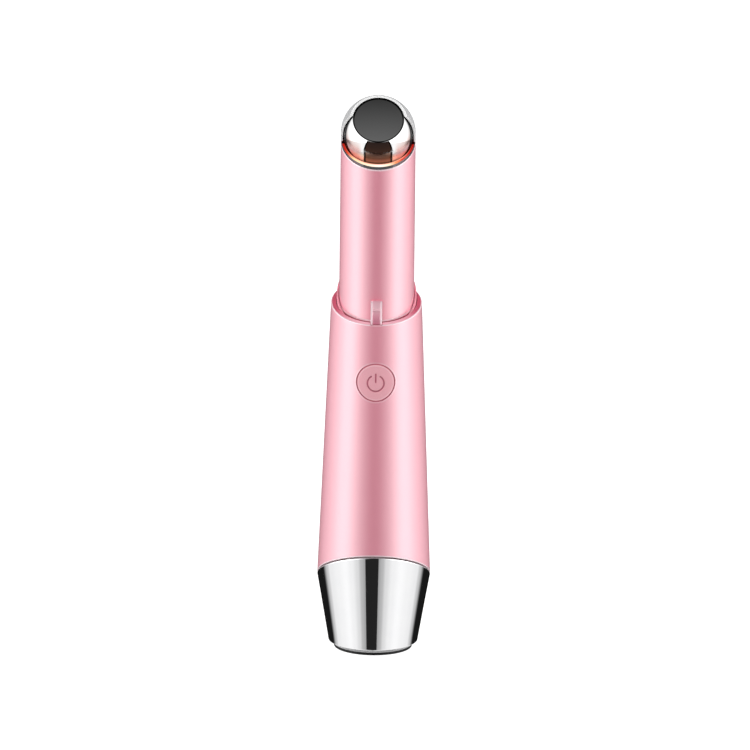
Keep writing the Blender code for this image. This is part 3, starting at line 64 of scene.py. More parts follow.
# Foot and chrome cup
FOOT_RADIUS = 0.00993
FOOT_THICKNESS = 0.0013
FOOT_ROUNDS = (0.0002, 0.00018, 0.0001, 0.0001)
FOOT_DRILL = (0.0021, -0.001, 0.003)
SOCKET_HOLE = 0.0032
SCREW_OFFSET = 0.0064
CUP_GAP = 0.0001
CUP_BASE = FOOT_THICKNESS + CUP_GAP
CUP_FLOOR = 0.0029
HEEL_RADIUS = 0.01008
HEEL_WIDTH = 0.0013
HEEL_HEIGHT = 0.0005
CUP_WALL = 0.0012
CUP_ROUNDS = (0, 0.00022, 0.00015, 0.0003, 0.0001, 0.0001)
CUP_DRILL = (0.0013, 0.0, 0.005)

# Handle, from the slanted seam up to the slanted rim
SHELL_WALL = 0.0011
THROAT_RADIUS = 0.01031
SHOULDER_HEIGHT = 0.0840
HANDLE_ROUNDS = (0.00015, 0.00028, 0.00012, 0.0002, 0.0002, 0.0001)
HANDLE_CUTTER = 0.017

# Collar with its snap tongue
COLLAR_RADIUS = 0.01016
COLLAR_BORE = 0.00971
COLLAR_BASE = 0.0829
COLLAR_FLANGE_TOP = 0.0837
COLLAR_ROUNDS = (0.0001, 0.0001, 0, 0.00016, 0.00012, 0.0001)
FLANGE_RADIUS = 0.01062
TONGUE_HALF = 0.00145
TONGUE_RAIL = 0.00047
TONGUE_REACH = 0.0110
TONGUE_FLOOR = 0.0106
TONGUE_BASE = 0.0879
TONGUE_TOP = 0.0940
TONGUE_EDGE = 0.0001
TONGUE_ROUNDS = (0.00005, 0.0002, 0.00016, 0.00014, 0.00014, 0.00016, 0.0002, 0.00005)
TONGUE_BUMP = 0.0915
BUMP_RADIUS = 0.0004
BUMP_SINK = 0.00013
BUMP_LAP = 0.0002
TONGUE_STEM_HALF = 0.0013
TONGUE_STEM = (-0.01005, -0.00977)
TONGUE_STEM_BASE = 0.08455
NOTCH_CLEARANCE = 0.00012

# Barrel, and what stands in its slanted mouth
BARREL_RADIUS = 0.00956
BARREL_BORE = 0.00836
MOUTH_BORE = 0.00946
BARREL_BASE = 0.0813
BARREL_FLANGE_TOP = 0.0826
MOUTH_STEP = 0.1220
SEAT_DEPTH = 0.0043
BARREL_ROUNDS = (0.0001, 0.0001, 0, 0.00014, 0.00008, 0, 0.0001, 0.0001)
TRIM_ROUNDS = (6e-5, 6e-5, 0, 0)
TRIM_GAP = 0.00002
TRIM_DROP = 0.00005
TRIM_SIDE = 0.0001
TRIM_FRONT = 0.00090
LENS_REACH = 0.00775
LENS_SIDE = 0.0010
LENS_ROUNDS = (5e-5, 5e-5, 5e-5, 0, 0)
LENS_GAP = 0.00005
LENS_THICKNESS = 0.0009
FUNNEL_DEPTH = 0.0010
FUNNEL_GAP = 0.0002
CRESCENT = math.radians(84.0)

# Probe and hood
PROBE_HEIGHT = 0.1357
PROBE_RADIUS = 0.0089
PROBE_WALL = 0.0010
PROBE_END = math.radians(152.0)
FACET_LEVEL = 0.00625
FACET_TILT = math.radians(43.7)
FACET_DOME = 0.00022
FACET_EDGE = 0.00015
FACET_SINK = 0.0001
PROBE_CUTTER = 0.02
HOOD_CUTTER = 0.013
CUTTER_FLOOR = 0.1
HOOD_WALL = 0.00046
HOOD_SKIRT = 0.0090
HOOD_FRONT = 0.0032
HOOD_FRONT_RISE = 0.0048
HOOD_FRONT_LEAN = 0.40
HOOD_FACE_LEVEL = 0.0062

# Power button and its symbol
BUTTON_HEIGHT = 0.07283
BUTTON_RADIUS = 0.0048
BUTTON_HOLE = 0.0049
BUTTON_RECESS = 0.00005
BUTTON_EDGE = 0.00018
HOLE_EDGE = 0.00018
HOLE_FLARE = math.radians(82)
HOLE_BACK = 0.0057
HOLE_LIFT = 0.0005
FLANGE_REACH = 0.0056
FLANGE_THICKNESS = 0.0008
FLANGE_EDGE = 0.0001
SYMBOL_RADIUS = 0.0021
SYMBOL_LINE = 0.00043
SYMBOL_DROP = 0.0002
SYMBOL_BAR = (0.0001, 0.0022)
SYMBOL_DEPTH = 0.0002
SYMBOL_HALF_GAP = math.radians(33.0)


class Side(NamedTuple):
    """Cone round the wand's axis: its radius at a level, and how much it narrows with height."""
    radius: float
    taper: float = 0.0
    level: float = 0.0

    def at(self, height):
        return self.radius - self.taper * (height - self.level)

    def inset(self, depth):
        return self._replace(radius=self.radius - depth)


class Cut(NamedTuple):
    """Plane that rises towards the back: its height on the axis, and its slope."""
    height: float
    slope: float = 0.0

    def at(self, y):
        return self.height + self.slope * y

    def lifted(self, rise):
        return self._replace(height=self.height + rise)


HANDLE = Side(0.0144, 0.039, 0.0193)
SEAM = Cut(0.0196, -0.554)
RIM = Cut(0.0910, 0.264)
COLLAR_EDGE = Cut(0.09317, 0.75)
MOUTH = Cut(0.1335, 0.532)


def angles(count=ROUND):
    """Angles round the wand, counted from its front towards its right."""
    return np.arange(count) * (2 * np.pi / count)


def meet(side, cut, turn):
    """Radius and height where a cone meets a slanted plane, at each angle from the front.

    The height is the plane's height less its slope times the cosine of the angle times the radius, and the
    radius falls with the height by the cone's taper; the two are solved together.
    """
    lean = cut.slope * np.cos(turn)
    foot = side.radius + side.taper * side.level
    height = (cut.height - lean * foot) / (1 - lean * side.taper)
    return np.stack([side.at(height), height], axis=-1)


def section(corners, turn):
    """Corners of a section, each a cone and a plane; a bare number stands for an upright or a level one."""
    sides = [Side(side) if isinstance(side, float) else side for side, cut in corners]
    cuts = [Cut(cut) if isinstance(cut, float) else cut for side, cut in corners]
    return np.stack([meet(side, cut, turn) for side, cut in zip(sides, cuts)])


def rounded(points, radii, steps=ARC_STEPS):
    """Rows of a closed section whose corners are turned into arcs that touch both neighbouring lines.

    An arc's centre lies on its corner's bisector, as far out as its radius over the sine of the half angle.
    Its points are a spherical blend of the two spokes that meet the lines.
    """
    rows = []
    for index, radius in enumerate(radii):
        corner = points[index]
        if not radius:
            rows.append(corner)
            continue
        spokes = []
        for other in (points[index - 1], points[(index + 1) % len(points)]):
            line = other - corner
            spokes.append(line / np.linalg.norm(line, axis=-1, keepdims=True))
        half = np.arccos(np.clip((spokes[0] * spokes[1]).sum(-1), -1, 1))[..., None] / 2
        middle = spokes[0] + spokes[1]
        middle /= np.linalg.norm(middle, axis=-1, keepdims=True)
        centre = corner + middle * radius / np.sin(half)
        start, end = (corner + spoke * radius / np.tan(half) - centre for spoke in spokes)
        turn = np.pi - 2 * half
        for share in np.linspace(0, 1, steps + 1):
            blend = start * np.sin((1 - share) * turn) + end * np.sin(share * turn)
            rows.append(centre + blend / np.sin(turn))
    return np.stack(rows)


def spread(rows, longest):
    """Rows with even steps put in wherever two neighbours lie further apart than the longest step."""
    following = np.roll(rows, -1, axis=0)
    lengths = np.linalg.norm(following - rows, axis=-1).max(axis=-1)
    out = []
    for row, after, length in zip(rows, following, lengths):
        count = max(1, math.ceil(length / longest))
        out += [row + (after - row) * step / count for step in range(count)]
    return np.stack(out)


def round_axis(rows, turn):
    """Points round the wand: across is radius times sine, forward is radius times cosine."""
    radius, height = rows[..., 0], rows[..., 1]
    return np.stack([radius * np.sin(turn), -radius * np.cos(turn), height], axis=-1)


def linked(name, data):
    """New object with the given data, in the scene."""
    thing = bpy.data.objects.new(name, data)
    bpy.context.scene.collection.objects.link(thing)
    return thing


def surface(name, rows, ends="ring"):
    """Closed mesh through rows of points, each row a loop.

    ends is ring, where the last row joins the first; caps, where a flat face closes each end; or poles, where
    the first and last rows are one point each, repeated. Faces are turned outwards by the mesh's volume.
    """
    rows = np.asarray(rows, float)
    count, across = rows.shape[:2]
    column = np.arange(across)
    following = (column + 1) % across
    first, last = (1, count - 2) if ends == "poles" else (0, count - 1)
    low = np.arange(first, count if ends == "ring" else last)
    high = (low + 1) % count
    quads = np.stack([
        low[:, None] * across + column, low[:, None] * across + following,
        high[:, None] * across + following, high[:, None] * across + column,
    ], axis=-1).reshape(-1, 4)
    points, faces = rows.reshape(-1, 3), quads.tolist()
    if ends == "caps":
        faces += [column[::-1].tolist(), (column + last * across).tolist()]
    if ends == "poles":
        start, finish = np.full(across, 0), np.full(across, last + 1)
        faces += np.stack([start * across, following + across, column + across], axis=-1).tolist()
        above = last * across
        faces += np.stack([column + above, following + above, finish * across], axis=-1).tolist()
        used = np.r_[0, across:(last + 1) * across, (last + 1) * across]
        place = np.zeros(len(points), int)
        place[used] = np.arange(len(used))
        points, faces = points[used], [place[face].tolist() for face in faces]
    mesh = bpy.data.meshes.new(name)
    mesh.from_pydata(points.tolist(), [], faces)
    mesh.update()
    outward(mesh)
    return linked(name, mesh)


def outward(mesh):
    """Turns all faces over where the volume under them, a sum of triple products, comes out negative."""
    mesh.calc_loop_triangles()
    corners = np.empty(len(mesh.loop_triangles) * 3, np.int32)
    mesh.loop_triangles.foreach_get("vertices", corners)
    points = np.empty(len(mesh.vertices) * 3)
    mesh.vertices.foreach_get("co", points)
    a, b, c = points.reshape(-1, 3)[corners.reshape(-1, 3)].transpose(1, 0, 2)
    if (a * np.cross(b, c)).sum() < 0:
        mesh.flip_normals()


def turned(name, corners, radii, longest=None):
    """Piece turned round the wand's axis from a closed section of cones and planes with rounded corners."""
    turn = angles()
    rows = rounded(section(corners, turn), radii)
    if longest:
        rows = spread(rows, longest)
    return surface(name, round_axis(rows, turn))


def spun(name, line):
    """Piece turned round the wand's axis from one line of radius and height that starts and ends on it."""
    rows = np.broadcast_to(line[:, None], (len(line), ROUND, 2))
    return surface(name, round_axis(rows, angles()), "poles")


def carve(piece, tool, operation="DIFFERENCE"):
    """Cuts a piece with a tool, or joins the two, and keeps only the resulting mesh."""
    modifier = piece.modifiers.new("carve", "BOOLEAN")
    modifier.solver, modifier.operation, modifier.object = "EXACT", operation, tool
    graph = bpy.context.evaluated_depsgraph_get()
    result = bpy.data.meshes.new_from_object(piece.evaluated_get(graph), depsgraph=graph)
    piece.modifiers.clear()
    spent = [piece.data, tool.data]
    piece.data = result
    bpy.data.objects.remove(tool)
    for mesh in spent:
        bpy.data.meshes.remove(mesh)
    return piece


def block(name, outline, half):
    """Bar across the wand with the given outline in depth and height, from -half to half."""
    rows = [[(x, y, z) for y, z in outline] for x in (-half, half)]
    return surface(name, rows, "caps")


def underfill(name, cut, reach):
    """Block that fills everything under a slanted plane."""
    front, back = cut.at(-reach), cut.at(reach)
    outline = [(-reach, CUTTER_FLOOR), (reach, CUTTER_FLOOR), (reach, back), (-reach, front)]
    return block(name, outline, reach)


def drill_screw_holes(piece, radius, low, high):
    """Cuts the two upright screw holes of the base."""
    turn = angles(DRILL_ROUND)
    for x in (-SCREW_OFFSET, SCREW_OFFSET):
        ring = np.stack([x + radius * np.sin(turn), -radius * np.cos(turn)], axis=-1)
        rows = [np.column_stack([ring, np.full(DRILL_ROUND, level)]) for level in (low, high)]
        carve(piece, surface("screw_hole", rows, "caps"))


def settle(piece, body, nodes, sharp=35.0):
    """Smooth shading with face-weighted normals, and the piece's place in the frame."""
    mesh = piece.data
    mesh.shade_smooth()
    mesh.set_sharp_from_angle(angle=math.radians(sharp))
    weighted = piece.modifiers.new("weighted", "WEIGHTED_NORMAL")
    weighted.keep_sharp = True
    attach(piece, body)
    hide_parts(*nodes)
    return piece


def make_foot():
    """Thin foot: a disc with a rounded edge, the socket's hole and two screw holes."""
    corners = [
        (FOOT_RADIUS, 0.0), (FOOT_RADIUS, FOOT_THICKNESS),
        (SOCKET_HOLE, FOOT_THICKNESS), (SOCKET_HOLE, 0.0),
    ]
    foot = turned("foot", corners, FOOT_ROUNDS)
    drill_screw_holes(foot, *FOOT_DRILL)
    return settle(foot, "wand", ["foot_disc"])


def make_cup():
    """Chrome cup: an elliptic heel, a straight side up to the slanted seam, and a floor."""
    turn = angles()
    rise = np.linspace(0, np.pi / 2, 12)
    out, up = HEEL_WIDTH * np.sin(rise), HEEL_HEIGHT * (1 - np.cos(rise))
    heel = np.stack([HEEL_RADIUS + out, CUP_BASE + up], axis=-1)
    heel = np.broadcast_to(heel[:, None], (len(rise), ROUND, 2))
    corners = [
        (HEEL_RADIUS + HEEL_WIDTH, CUP_BASE + HEEL_HEIGHT),
        (HANDLE, SEAM.lifted(-SEAT_GAP)),
        (HANDLE.inset(CUP_WALL), SEAM.lifted(-SEAT_GAP)),
        (HEEL_RADIUS + HEEL_WIDTH - CUP_WALL, CUP_FLOOR),
        (SOCKET_HOLE, CUP_FLOOR),
        (SOCKET_HOLE, CUP_BASE),
    ]
    rows = rounded(section(corners, turn), CUP_ROUNDS)
    cup = surface("cup", round_axis(np.concatenate([heel[:-1], spread(rows, LONG_STEP)]), turn))
    drill_screw_holes(cup, *CUP_DRILL)
    return settle(cup, "wand", ["base_cup"])


def button_ring(distance, depth, turn):
    """Points round the button's axis, set back by a depth from the handle's surface.

    Across is distance times sine and up is distance times cosine. The surface lies where the squares of
    across and of depth add up to the square of the handle's radius at that height.
    """
    x = distance * np.sin(turn)
    z = BUTTON_HEIGHT + distance * np.cos(turn)
    y = -np.sqrt(np.maximum(HANDLE.at(z) ** 2 - x * x, 0)) + depth
    return np.stack(np.broadcast_arrays(x, y, z), axis=-1)


def flat_ring(distance, y, turn):
    """Points round the button's axis in an upright plane."""
    x, z = distance * np.sin(turn), BUTTON_HEIGHT + distance * np.cos(turn)
    return np.stack(np.broadcast_arrays(x, np.full_like(x, y), z), axis=-1)


def make_handle():
    """Tapered pink shell with a rounded rim, the button's hole and the notch for the tongue."""
    inner = HANDLE.inset(SHELL_WALL)
    corners = [
        (HANDLE, SEAM), (HANDLE, RIM), (THROAT_RADIUS, RIM), (THROAT_RADIUS, SHOULDER_HEIGHT),
        (inner, SHOULDER_HEIGHT), (inner, SEAM),
    ]
    handle = turned("handle", corners, HANDLE_ROUNDS, HANDLE_STEP)
    turn = angles(HOLE_ROUND)
    rows = [flat_ring(BUTTON_HOLE, -HOLE_BACK, turn)]
    for bend in np.linspace(0, HOLE_FLARE, 8):
        distance = BUTTON_HOLE + HOLE_EDGE * (1 - np.cos(bend))
        rows.append(button_ring(distance, HOLE_EDGE * (1 - np.sin(bend)), turn))
    wide = BUTTON_HOLE + 1.6 * HOLE_EDGE
    rows += [button_ring(wide, -HOLE_LIFT, turn), flat_ring(wide, -HANDLE_CUTTER, turn)]
    carve(handle, surface("button_hole", rows, "caps"))
    low, high = TONGUE_BASE - NOTCH_CLEARANCE, RIM.height
    front, back = -HANDLE_CUTTER, -BARREL_RADIUS
    outline = [(front, low), (front, high), (back, high), (back, low)]
    carve(handle, block("tongue_notch", outline, TONGUE_HALF + NOTCH_CLEARANCE))
    return settle(handle, "wand", ["body_shell"])


def make_collar():
    """Thin sleeve with a slanted edge, a flange below and the grooved snap tongue at its front.

    The tongue is an outline with two rails and a hollow between them, carried upwards. Its ends are rounded
    by drawing the outline in along its own normals.
    """
    corners = [
        (FLANGE_RADIUS, COLLAR_BASE), (FLANGE_RADIUS, COLLAR_FLANGE_TOP),
        (COLLAR_RADIUS, COLLAR_FLANGE_TOP), (COLLAR_RADIUS, COLLAR_EDGE),
        (COLLAR_BORE, COLLAR_EDGE), (COLLAR_BORE, COLLAR_BASE),
    ]
    collar = turned("collar", corners, COLLAR_ROUNDS, LONG_STEP)
    hollow = TONGUE_HALF - TONGUE_RAIL
    back = -(COLLAR_BORE + SLIP_GAP)
    outline = np.array([
        (-TONGUE_HALF, back), (-TONGUE_HALF, -TONGUE_REACH),
        (-hollow, -TONGUE_REACH), (-hollow, -TONGUE_FLOOR),
        (hollow, -TONGUE_FLOOR), (hollow, -TONGUE_REACH),
        (TONGUE_HALF, -TONGUE_REACH), (TONGUE_HALF, back),
    ])[:, None]
    loop = rounded(outline, TONGUE_ROUNDS)[:, 0]
    along = np.roll(loop, -1, axis=0) - np.roll(loop, 1, axis=0)
    normal = np.stack([along[:, 1], -along[:, 0]], axis=-1)
    normal /= np.linalg.norm(normal, axis=-1, keepdims=True) + 1e-12
    bend = np.linspace(0, np.pi / 2, 5)
    falling, growing = TONGUE_EDGE * (1 - np.sin(bend)), TONGUE_EDGE * (1 - np.cos(bend))
    draws, levels = np.r_[falling, growing], np.r_[TONGUE_BASE + growing, TONGUE_TOP - falling]
    rows = [np.column_stack([loop + normal * draw, np.full(len(loop), level)])
            for draw, level in zip(draws, levels)]
    front, behind = TONGUE_STEM
    top = TONGUE_TOP - SLIP_GAP
    stem = [(front, TONGUE_STEM_BASE), (front, top), (behind, top), (behind, TONGUE_STEM_BASE)]
    carve(collar, block("tongue_stem", stem, TONGUE_STEM_HALF), "UNION")
    carve(collar, surface("tongue", rows, "caps"), "UNION")
    turn = angles(DRILL_ROUND)
    y = -TONGUE_FLOOR + BUMP_SINK - BUMP_RADIUS * np.cos(turn)
    z = TONGUE_BUMP + BUMP_RADIUS * np.sin(turn)
    half = hollow + BUMP_LAP
    rows = [np.column_stack([np.full(DRILL_ROUND, x), y, z]) for x in (-half, half)]
    carve(collar, surface("tongue_bump", rows, "caps"), "UNION")
    return settle(collar, "wand", ["collar_ring"], 50.0)


def make_barrel():
    """Slim pink tube with a flange at its foot, a stepped bore and a thin round lip at its slanted mouth."""
    corners = [
        (FLANGE_RADIUS, BARREL_BASE), (FLANGE_RADIUS, BARREL_FLANGE_TOP),
        (BARREL_RADIUS, BARREL_FLANGE_TOP), (BARREL_RADIUS, MOUTH), (MOUTH_BORE, MOUTH),
        (MOUTH_BORE, MOUTH_STEP), (BARREL_BORE, MOUTH_STEP), (BARREL_BORE, BARREL_BASE),
    ]
    return settle(turned("sleeve", corners, BARREL_ROUNDS, BARREL_STEP), "wand", ["barrel"])


def ball_line(radius, start, end, count):
    """Section of a ball, from one angle to another, as distance from its axis and level."""
    bend = np.linspace(start, end, count)
    return np.stack([radius * np.sin(bend), radius * np.cos(bend)], axis=-1)


def make_probe():
    """Hollow metal ball with a faintly domed round face, set on the slanted seat.

    The section starts at the face's middle, sinks with the square of the distance to the face's rounded edge,
    and follows the ball. The inner wall is the same ball and face less the wall. The whole is turned round the
    face's own axis, tilted forwards and cut by the seat's plane.
    """
    rim = math.sqrt(PROBE_RADIUS ** 2 - FACET_LEVEL ** 2)
    bend = math.acos(FACET_LEVEL / PROBE_RADIUS)
    face = np.linspace(0, rim, 40)[:, None]
    face = np.hstack([face, FACET_LEVEL - FACET_SINK + FACET_DOME * (1 - (face / rim) ** 2)])
    ball = ball_line(PROBE_RADIUS, bend, PROBE_END, 110)
    line = ball - face[-1]
    edge = FACET_EDGE / math.tan((math.pi - bend) / 2)
    inner_radius, inner_level = PROBE_RADIUS - PROBE_WALL, FACET_LEVEL - PROBE_WALL
    inner = ball_line(inner_radius, PROBE_END, math.acos(inner_level / inner_radius), 40)
    face, ball = face[face[:, 0] < rim - 2 * edge], ball[np.linalg.norm(line, axis=-1) > 2 * edge]
    share = np.linspace(0, 1, 9)[1:-1, None]
    corner = np.array([rim, FACET_LEVEL - FACET_SINK])
    soft = face[-1] * (1 - share) ** 2 + 2 * corner * share * (1 - share) + ball[0] * share ** 2
    line = np.concatenate([face, soft, ball, inner, [[0, inner_level]]])
    probe = spun("probe", line)
    probe.data.transform(Matrix.Translation((0, 0, PROBE_HEIGHT)) @ Matrix.Rotation(FACET_TILT, 4, "X"))
    carve(probe, underfill("seat_cut", MOUTH.lifted(2 * SEAT_GAP - SEAT_DEPTH), PROBE_CUTTER))
    return settle(probe, "wand", ["massage_head"])


def make_hood():
    """Thin grey shell behind the probe: a dome over a short skirt, cut by the mouth, front and face."""
    outer = ball_line(BARREL_RADIUS, np.pi / 2, 0.0, HOOD_ROWS)
    inner = ball_line(BARREL_RADIUS - HOOD_WALL, 0.0, np.pi / 2, HOOD_ROWS)
    skirt = np.array([(BARREL_RADIUS - HOOD_WALL, -HOOD_SKIRT), (BARREL_RADIUS, -HOOD_SKIRT)])
    hood = spun("hood", np.concatenate([inner, skirt, outer]) + (0, PROBE_HEIGHT))
    reach = HOOD_CUTTER
    carve(hood, underfill("mouth_cut", MOUTH.lifted(SLIP_GAP), reach))
    low, high = PROBE_HEIGHT - reach, PROBE_HEIGHT + reach
    foot = HOOD_FRONT_LEAN * (HOOD_FRONT_RISE + reach) - HOOD_FRONT
    top = HOOD_FRONT_LEAN * (HOOD_FRONT_RISE - reach) - HOOD_FRONT
    carve(hood, block("front_cut", [(-reach, low), (foot, low), (top, high), (-reach, high)], reach))
    across = Vector((0, math.cos(FACET_TILT), math.sin(FACET_TILT))) * reach
    up = Vector((0, -math.sin(FACET_TILT), math.cos(FACET_TILT)))
    middle = Vector((0, 0, PROBE_HEIGHT)) + up * HOOD_FACE_LEVEL
    ends = [middle - across, middle + across, middle + across + up * reach, middle - across + up * reach]
    carve(hood, block("face_cut", [(p.y, p.z) for p in ends], reach))
    return settle(hood, "wand", ["head_hood"])


def probe_edge(cut, turn):
    """Distance from the wand's axis to the probe's ball in a slanted plane, at an angle from the front.

    The distance is the root of a quadratic: its square, plus the square of the plane's height over the ball's
    centre there, equals the square of the ball's radius.
    """
    rise, lean = cut.height - PROBE_HEIGHT, cut.slope * np.cos(turn)
    square, half = 1 + lean * lean, rise * lean
    return (half + np.sqrt(half * half - square * (rise * rise - PROBE_RADIUS ** 2))) / square


def crescent(name, corners, radii, turn):
    """Ring open at the back: a section of distances and planes carried round the front and closed."""
    points = np.stack([
        np.stack([distance, cut.height - cut.slope * distance * np.cos(turn)], axis=-1)
        for distance, cut in corners
    ])
    rows = round_axis(rounded(points, radii, 4), turn)
    return surface(name, rows.transpose(1, 0, 2), "caps")


def make_trim_and_light():
    """Dark trim inside the barrel's lip, and the light ring between it and the probe."""
    turn = np.linspace(-CRESCENT, CRESCENT, CRESCENT_ROUND)
    top = MOUTH.lifted(-TRIM_DROP)
    foot = MOUTH.lifted(SEAT_GAP - SEAT_DEPTH)
    outer = np.full_like(turn, MOUTH_BORE - TRIM_GAP)
    inner = outer - TRIM_SIDE - TRIM_FRONT * np.cos(turn)
    corners = [(outer, top), (inner, top), (inner, foot), (outer, foot)]
    trim = crescent("trim", corners, TRIM_ROUNDS, turn)
    funnel = top.lifted(-FUNNEL_DEPTH)
    floor = funnel.lifted(-LENS_THICKNESS)
    outer = inner - LENS_GAP
    flat = np.maximum(LENS_REACH + LENS_SIDE * np.sin(turn) ** 2, probe_edge(MOUTH, turn) + SLIP_GAP)
    slope = probe_edge(funnel, turn) + FUNNEL_GAP
    corners = [(outer, top), (flat, top), (slope, funnel), (slope, floor), (outer, floor)]
    light = crescent("light_ring_lens", corners, LENS_ROUNDS, turn)
    settle(trim, "wand", ["trim_ring"])
    settle(light, "wand", ["light_ring"])
    return trim, light


def symbol_distance(x, z):
    """Distance to the power symbol's line: an arc open at the top, and an upright bar through the gap.

    The arc's distance is how far the point's radius is from the arc's, or within the gap the distance to the
    nearer end; the bar's is the distance to a line segment. The nearer one counts.
    """
    up = z - BUTTON_HEIGHT + SYMBOL_DROP
    turn = np.abs(np.arctan2(x, up))
    end = SYMBOL_RADIUS * np.array([math.sin(SYMBOL_HALF_GAP), math.cos(SYMBOL_HALF_GAP)])
    ring = np.abs(np.hypot(x, up) - SYMBOL_RADIUS)
    tip = np.hypot(np.abs(x) - end[0], up - end[1])
    arc = np.where(turn > SYMBOL_HALF_GAP, ring, tip)
    height = z - BUTTON_HEIGHT
    bar = np.hypot(x, height - np.clip(height, *SYMBOL_BAR))
    return np.minimum(arc, bar)


def make_button():
    """Round button whose face follows the handle, with the symbol pressed in and a stop flange behind.

    Each point of the face is set back by the recess, plus a smooth groove under the symbol's line.
    """
    turn = angles(BUTTON_ROUND)
    wall = HANDLE.inset(SHELL_WALL).at(BUTTON_HEIGHT)
    front = SEAT_GAP - math.sqrt(wall ** 2 - FLANGE_REACH ** 2)
    rows = []
    for distance in np.linspace(0, BUTTON_RADIUS - BUTTON_EDGE, 84):
        ring = button_ring(distance, BUTTON_RECESS, turn)
        distances = symbol_distance(ring[:, 0], ring[:, 2])
        share = np.clip((distances - SYMBOL_LINE / 4) / (SYMBOL_LINE / 2), 0, 1)
        ring[:, 1] += SYMBOL_DEPTH * (1 - share * share * (3 - 2 * share))
        rows.append(ring)
    for bend in np.linspace(0, np.pi / 2, 8)[1:]:
        distance = BUTTON_RADIUS - BUTTON_EDGE * (1 - np.sin(bend))
        rows.append(button_ring(distance, BUTTON_RECESS + BUTTON_EDGE * (1 - np.cos(bend)), turn))
    back = front + FLANGE_THICKNESS
    for distance, y in [
        (BUTTON_RADIUS, front), (FLANGE_REACH - FLANGE_EDGE, front), (FLANGE_REACH, front + FLANGE_EDGE),
        (FLANGE_REACH, back - FLANGE_EDGE), (FLANGE_REACH - FLANGE_EDGE, back), (0.0, back),
    ]:
        rows.append(flat_ring(distance, y, turn))
    button = surface("button_cap", rows, "poles")
    mesh = button.data
    points = np.empty(len(mesh.vertices) * 3)
    mesh.vertices.foreach_get("co", points)
    x, y, z = points.reshape(-1, 3).T
    # The groove attribute marks where the button's colour gets the painted shade of the symbol's groove
    share = np.clip((symbol_distance(x, z) - SYMBOL_LINE * 0.3) / (SYMBOL_LINE * 0.3), 0, 1)
    groove = np.where(y < front - FLANGE_EDGE, 1 - share, 0)
    mesh.attributes.new("groove", "FLOAT", "POINT").data.foreach_set("value", groove)
    return settle(button, "button", ["power_button"], 50.0)


PIECES = {
    "foot": make_foot(), "cup": make_cup(), "handle": make_handle(), "collar": make_collar(),
    "barrel": make_barrel(), "probe": make_probe(), "hood": make_hood(), "button": make_button(),
}
PIECES["trim"], PIECES["light"] = make_trim_and_light()


def linear(shade):
    """Colour for a shader, from a grey level, a screen colour of 0 to 255, or a linear one with alpha."""
    if not isinstance(shade, tuple):
        return (shade, shade, shade, 1.0)
    if len(shade) == 4:
        return shade
    values = [v / 255 for v in shade]
    return tuple(v / 12.92 if v <= 0.04045 else ((v + 0.055) / 1.055) ** 2.4 for v in values) + (1.0,)


class Wire:
    """One output of a node. Sums written with it become Math nodes."""

    def __init__(self, recipe, socket):
        self.recipe, self.socket = recipe, socket

    def math(self, operation, *values):
        inputs = dict(enumerate((self,) + values))
        return self.recipe.add("ShaderNodeMath", {"operation": operation}, inputs)

    def __add__(self, other):
        return self.math("ADD", other)

    __radd__ = __add__

    def __sub__(self, other):
        return self.math("SUBTRACT", other)

    def __rsub__(self, other):
        return self.recipe.add("ShaderNodeMath", {"operation": "SUBTRACT"}, {0: other, 1: self})

    def __mul__(self, other):
        return self.math("MULTIPLY", other)

    __rmul__ = __mul__

    def __truediv__(self, other):
        return self.math("DIVIDE", other)

    def __pow__(self, other):
        return self.math("POWER", other)

    def __abs__(self):
        return self.math("ABSOLUTE")

    def __neg__(self):
        return self.math("MULTIPLY", -1.0)

    def clamped(self):
        return self.math("MAXIMUM", 0.0).math("MINIMUM", 1.0)

    def smooth(self, start, end):
        """0 below start, 1 above end, and a smooth step between."""
        settings = {"interpolation_type": "SMOOTHSTEP"}
        inputs = {"Value": self, "From Min": start, "From Max": end, "To Min": 0.0, "To Max": 1.0}
        return self.recipe.add("ShaderNodeMapRange", settings, inputs)

    def band(self, start, full, fade, end):
        """0 below start, 1 from full to fade, and 0 above end."""
        return self.smooth(start, full) * (1 - self.smooth(fade, end))


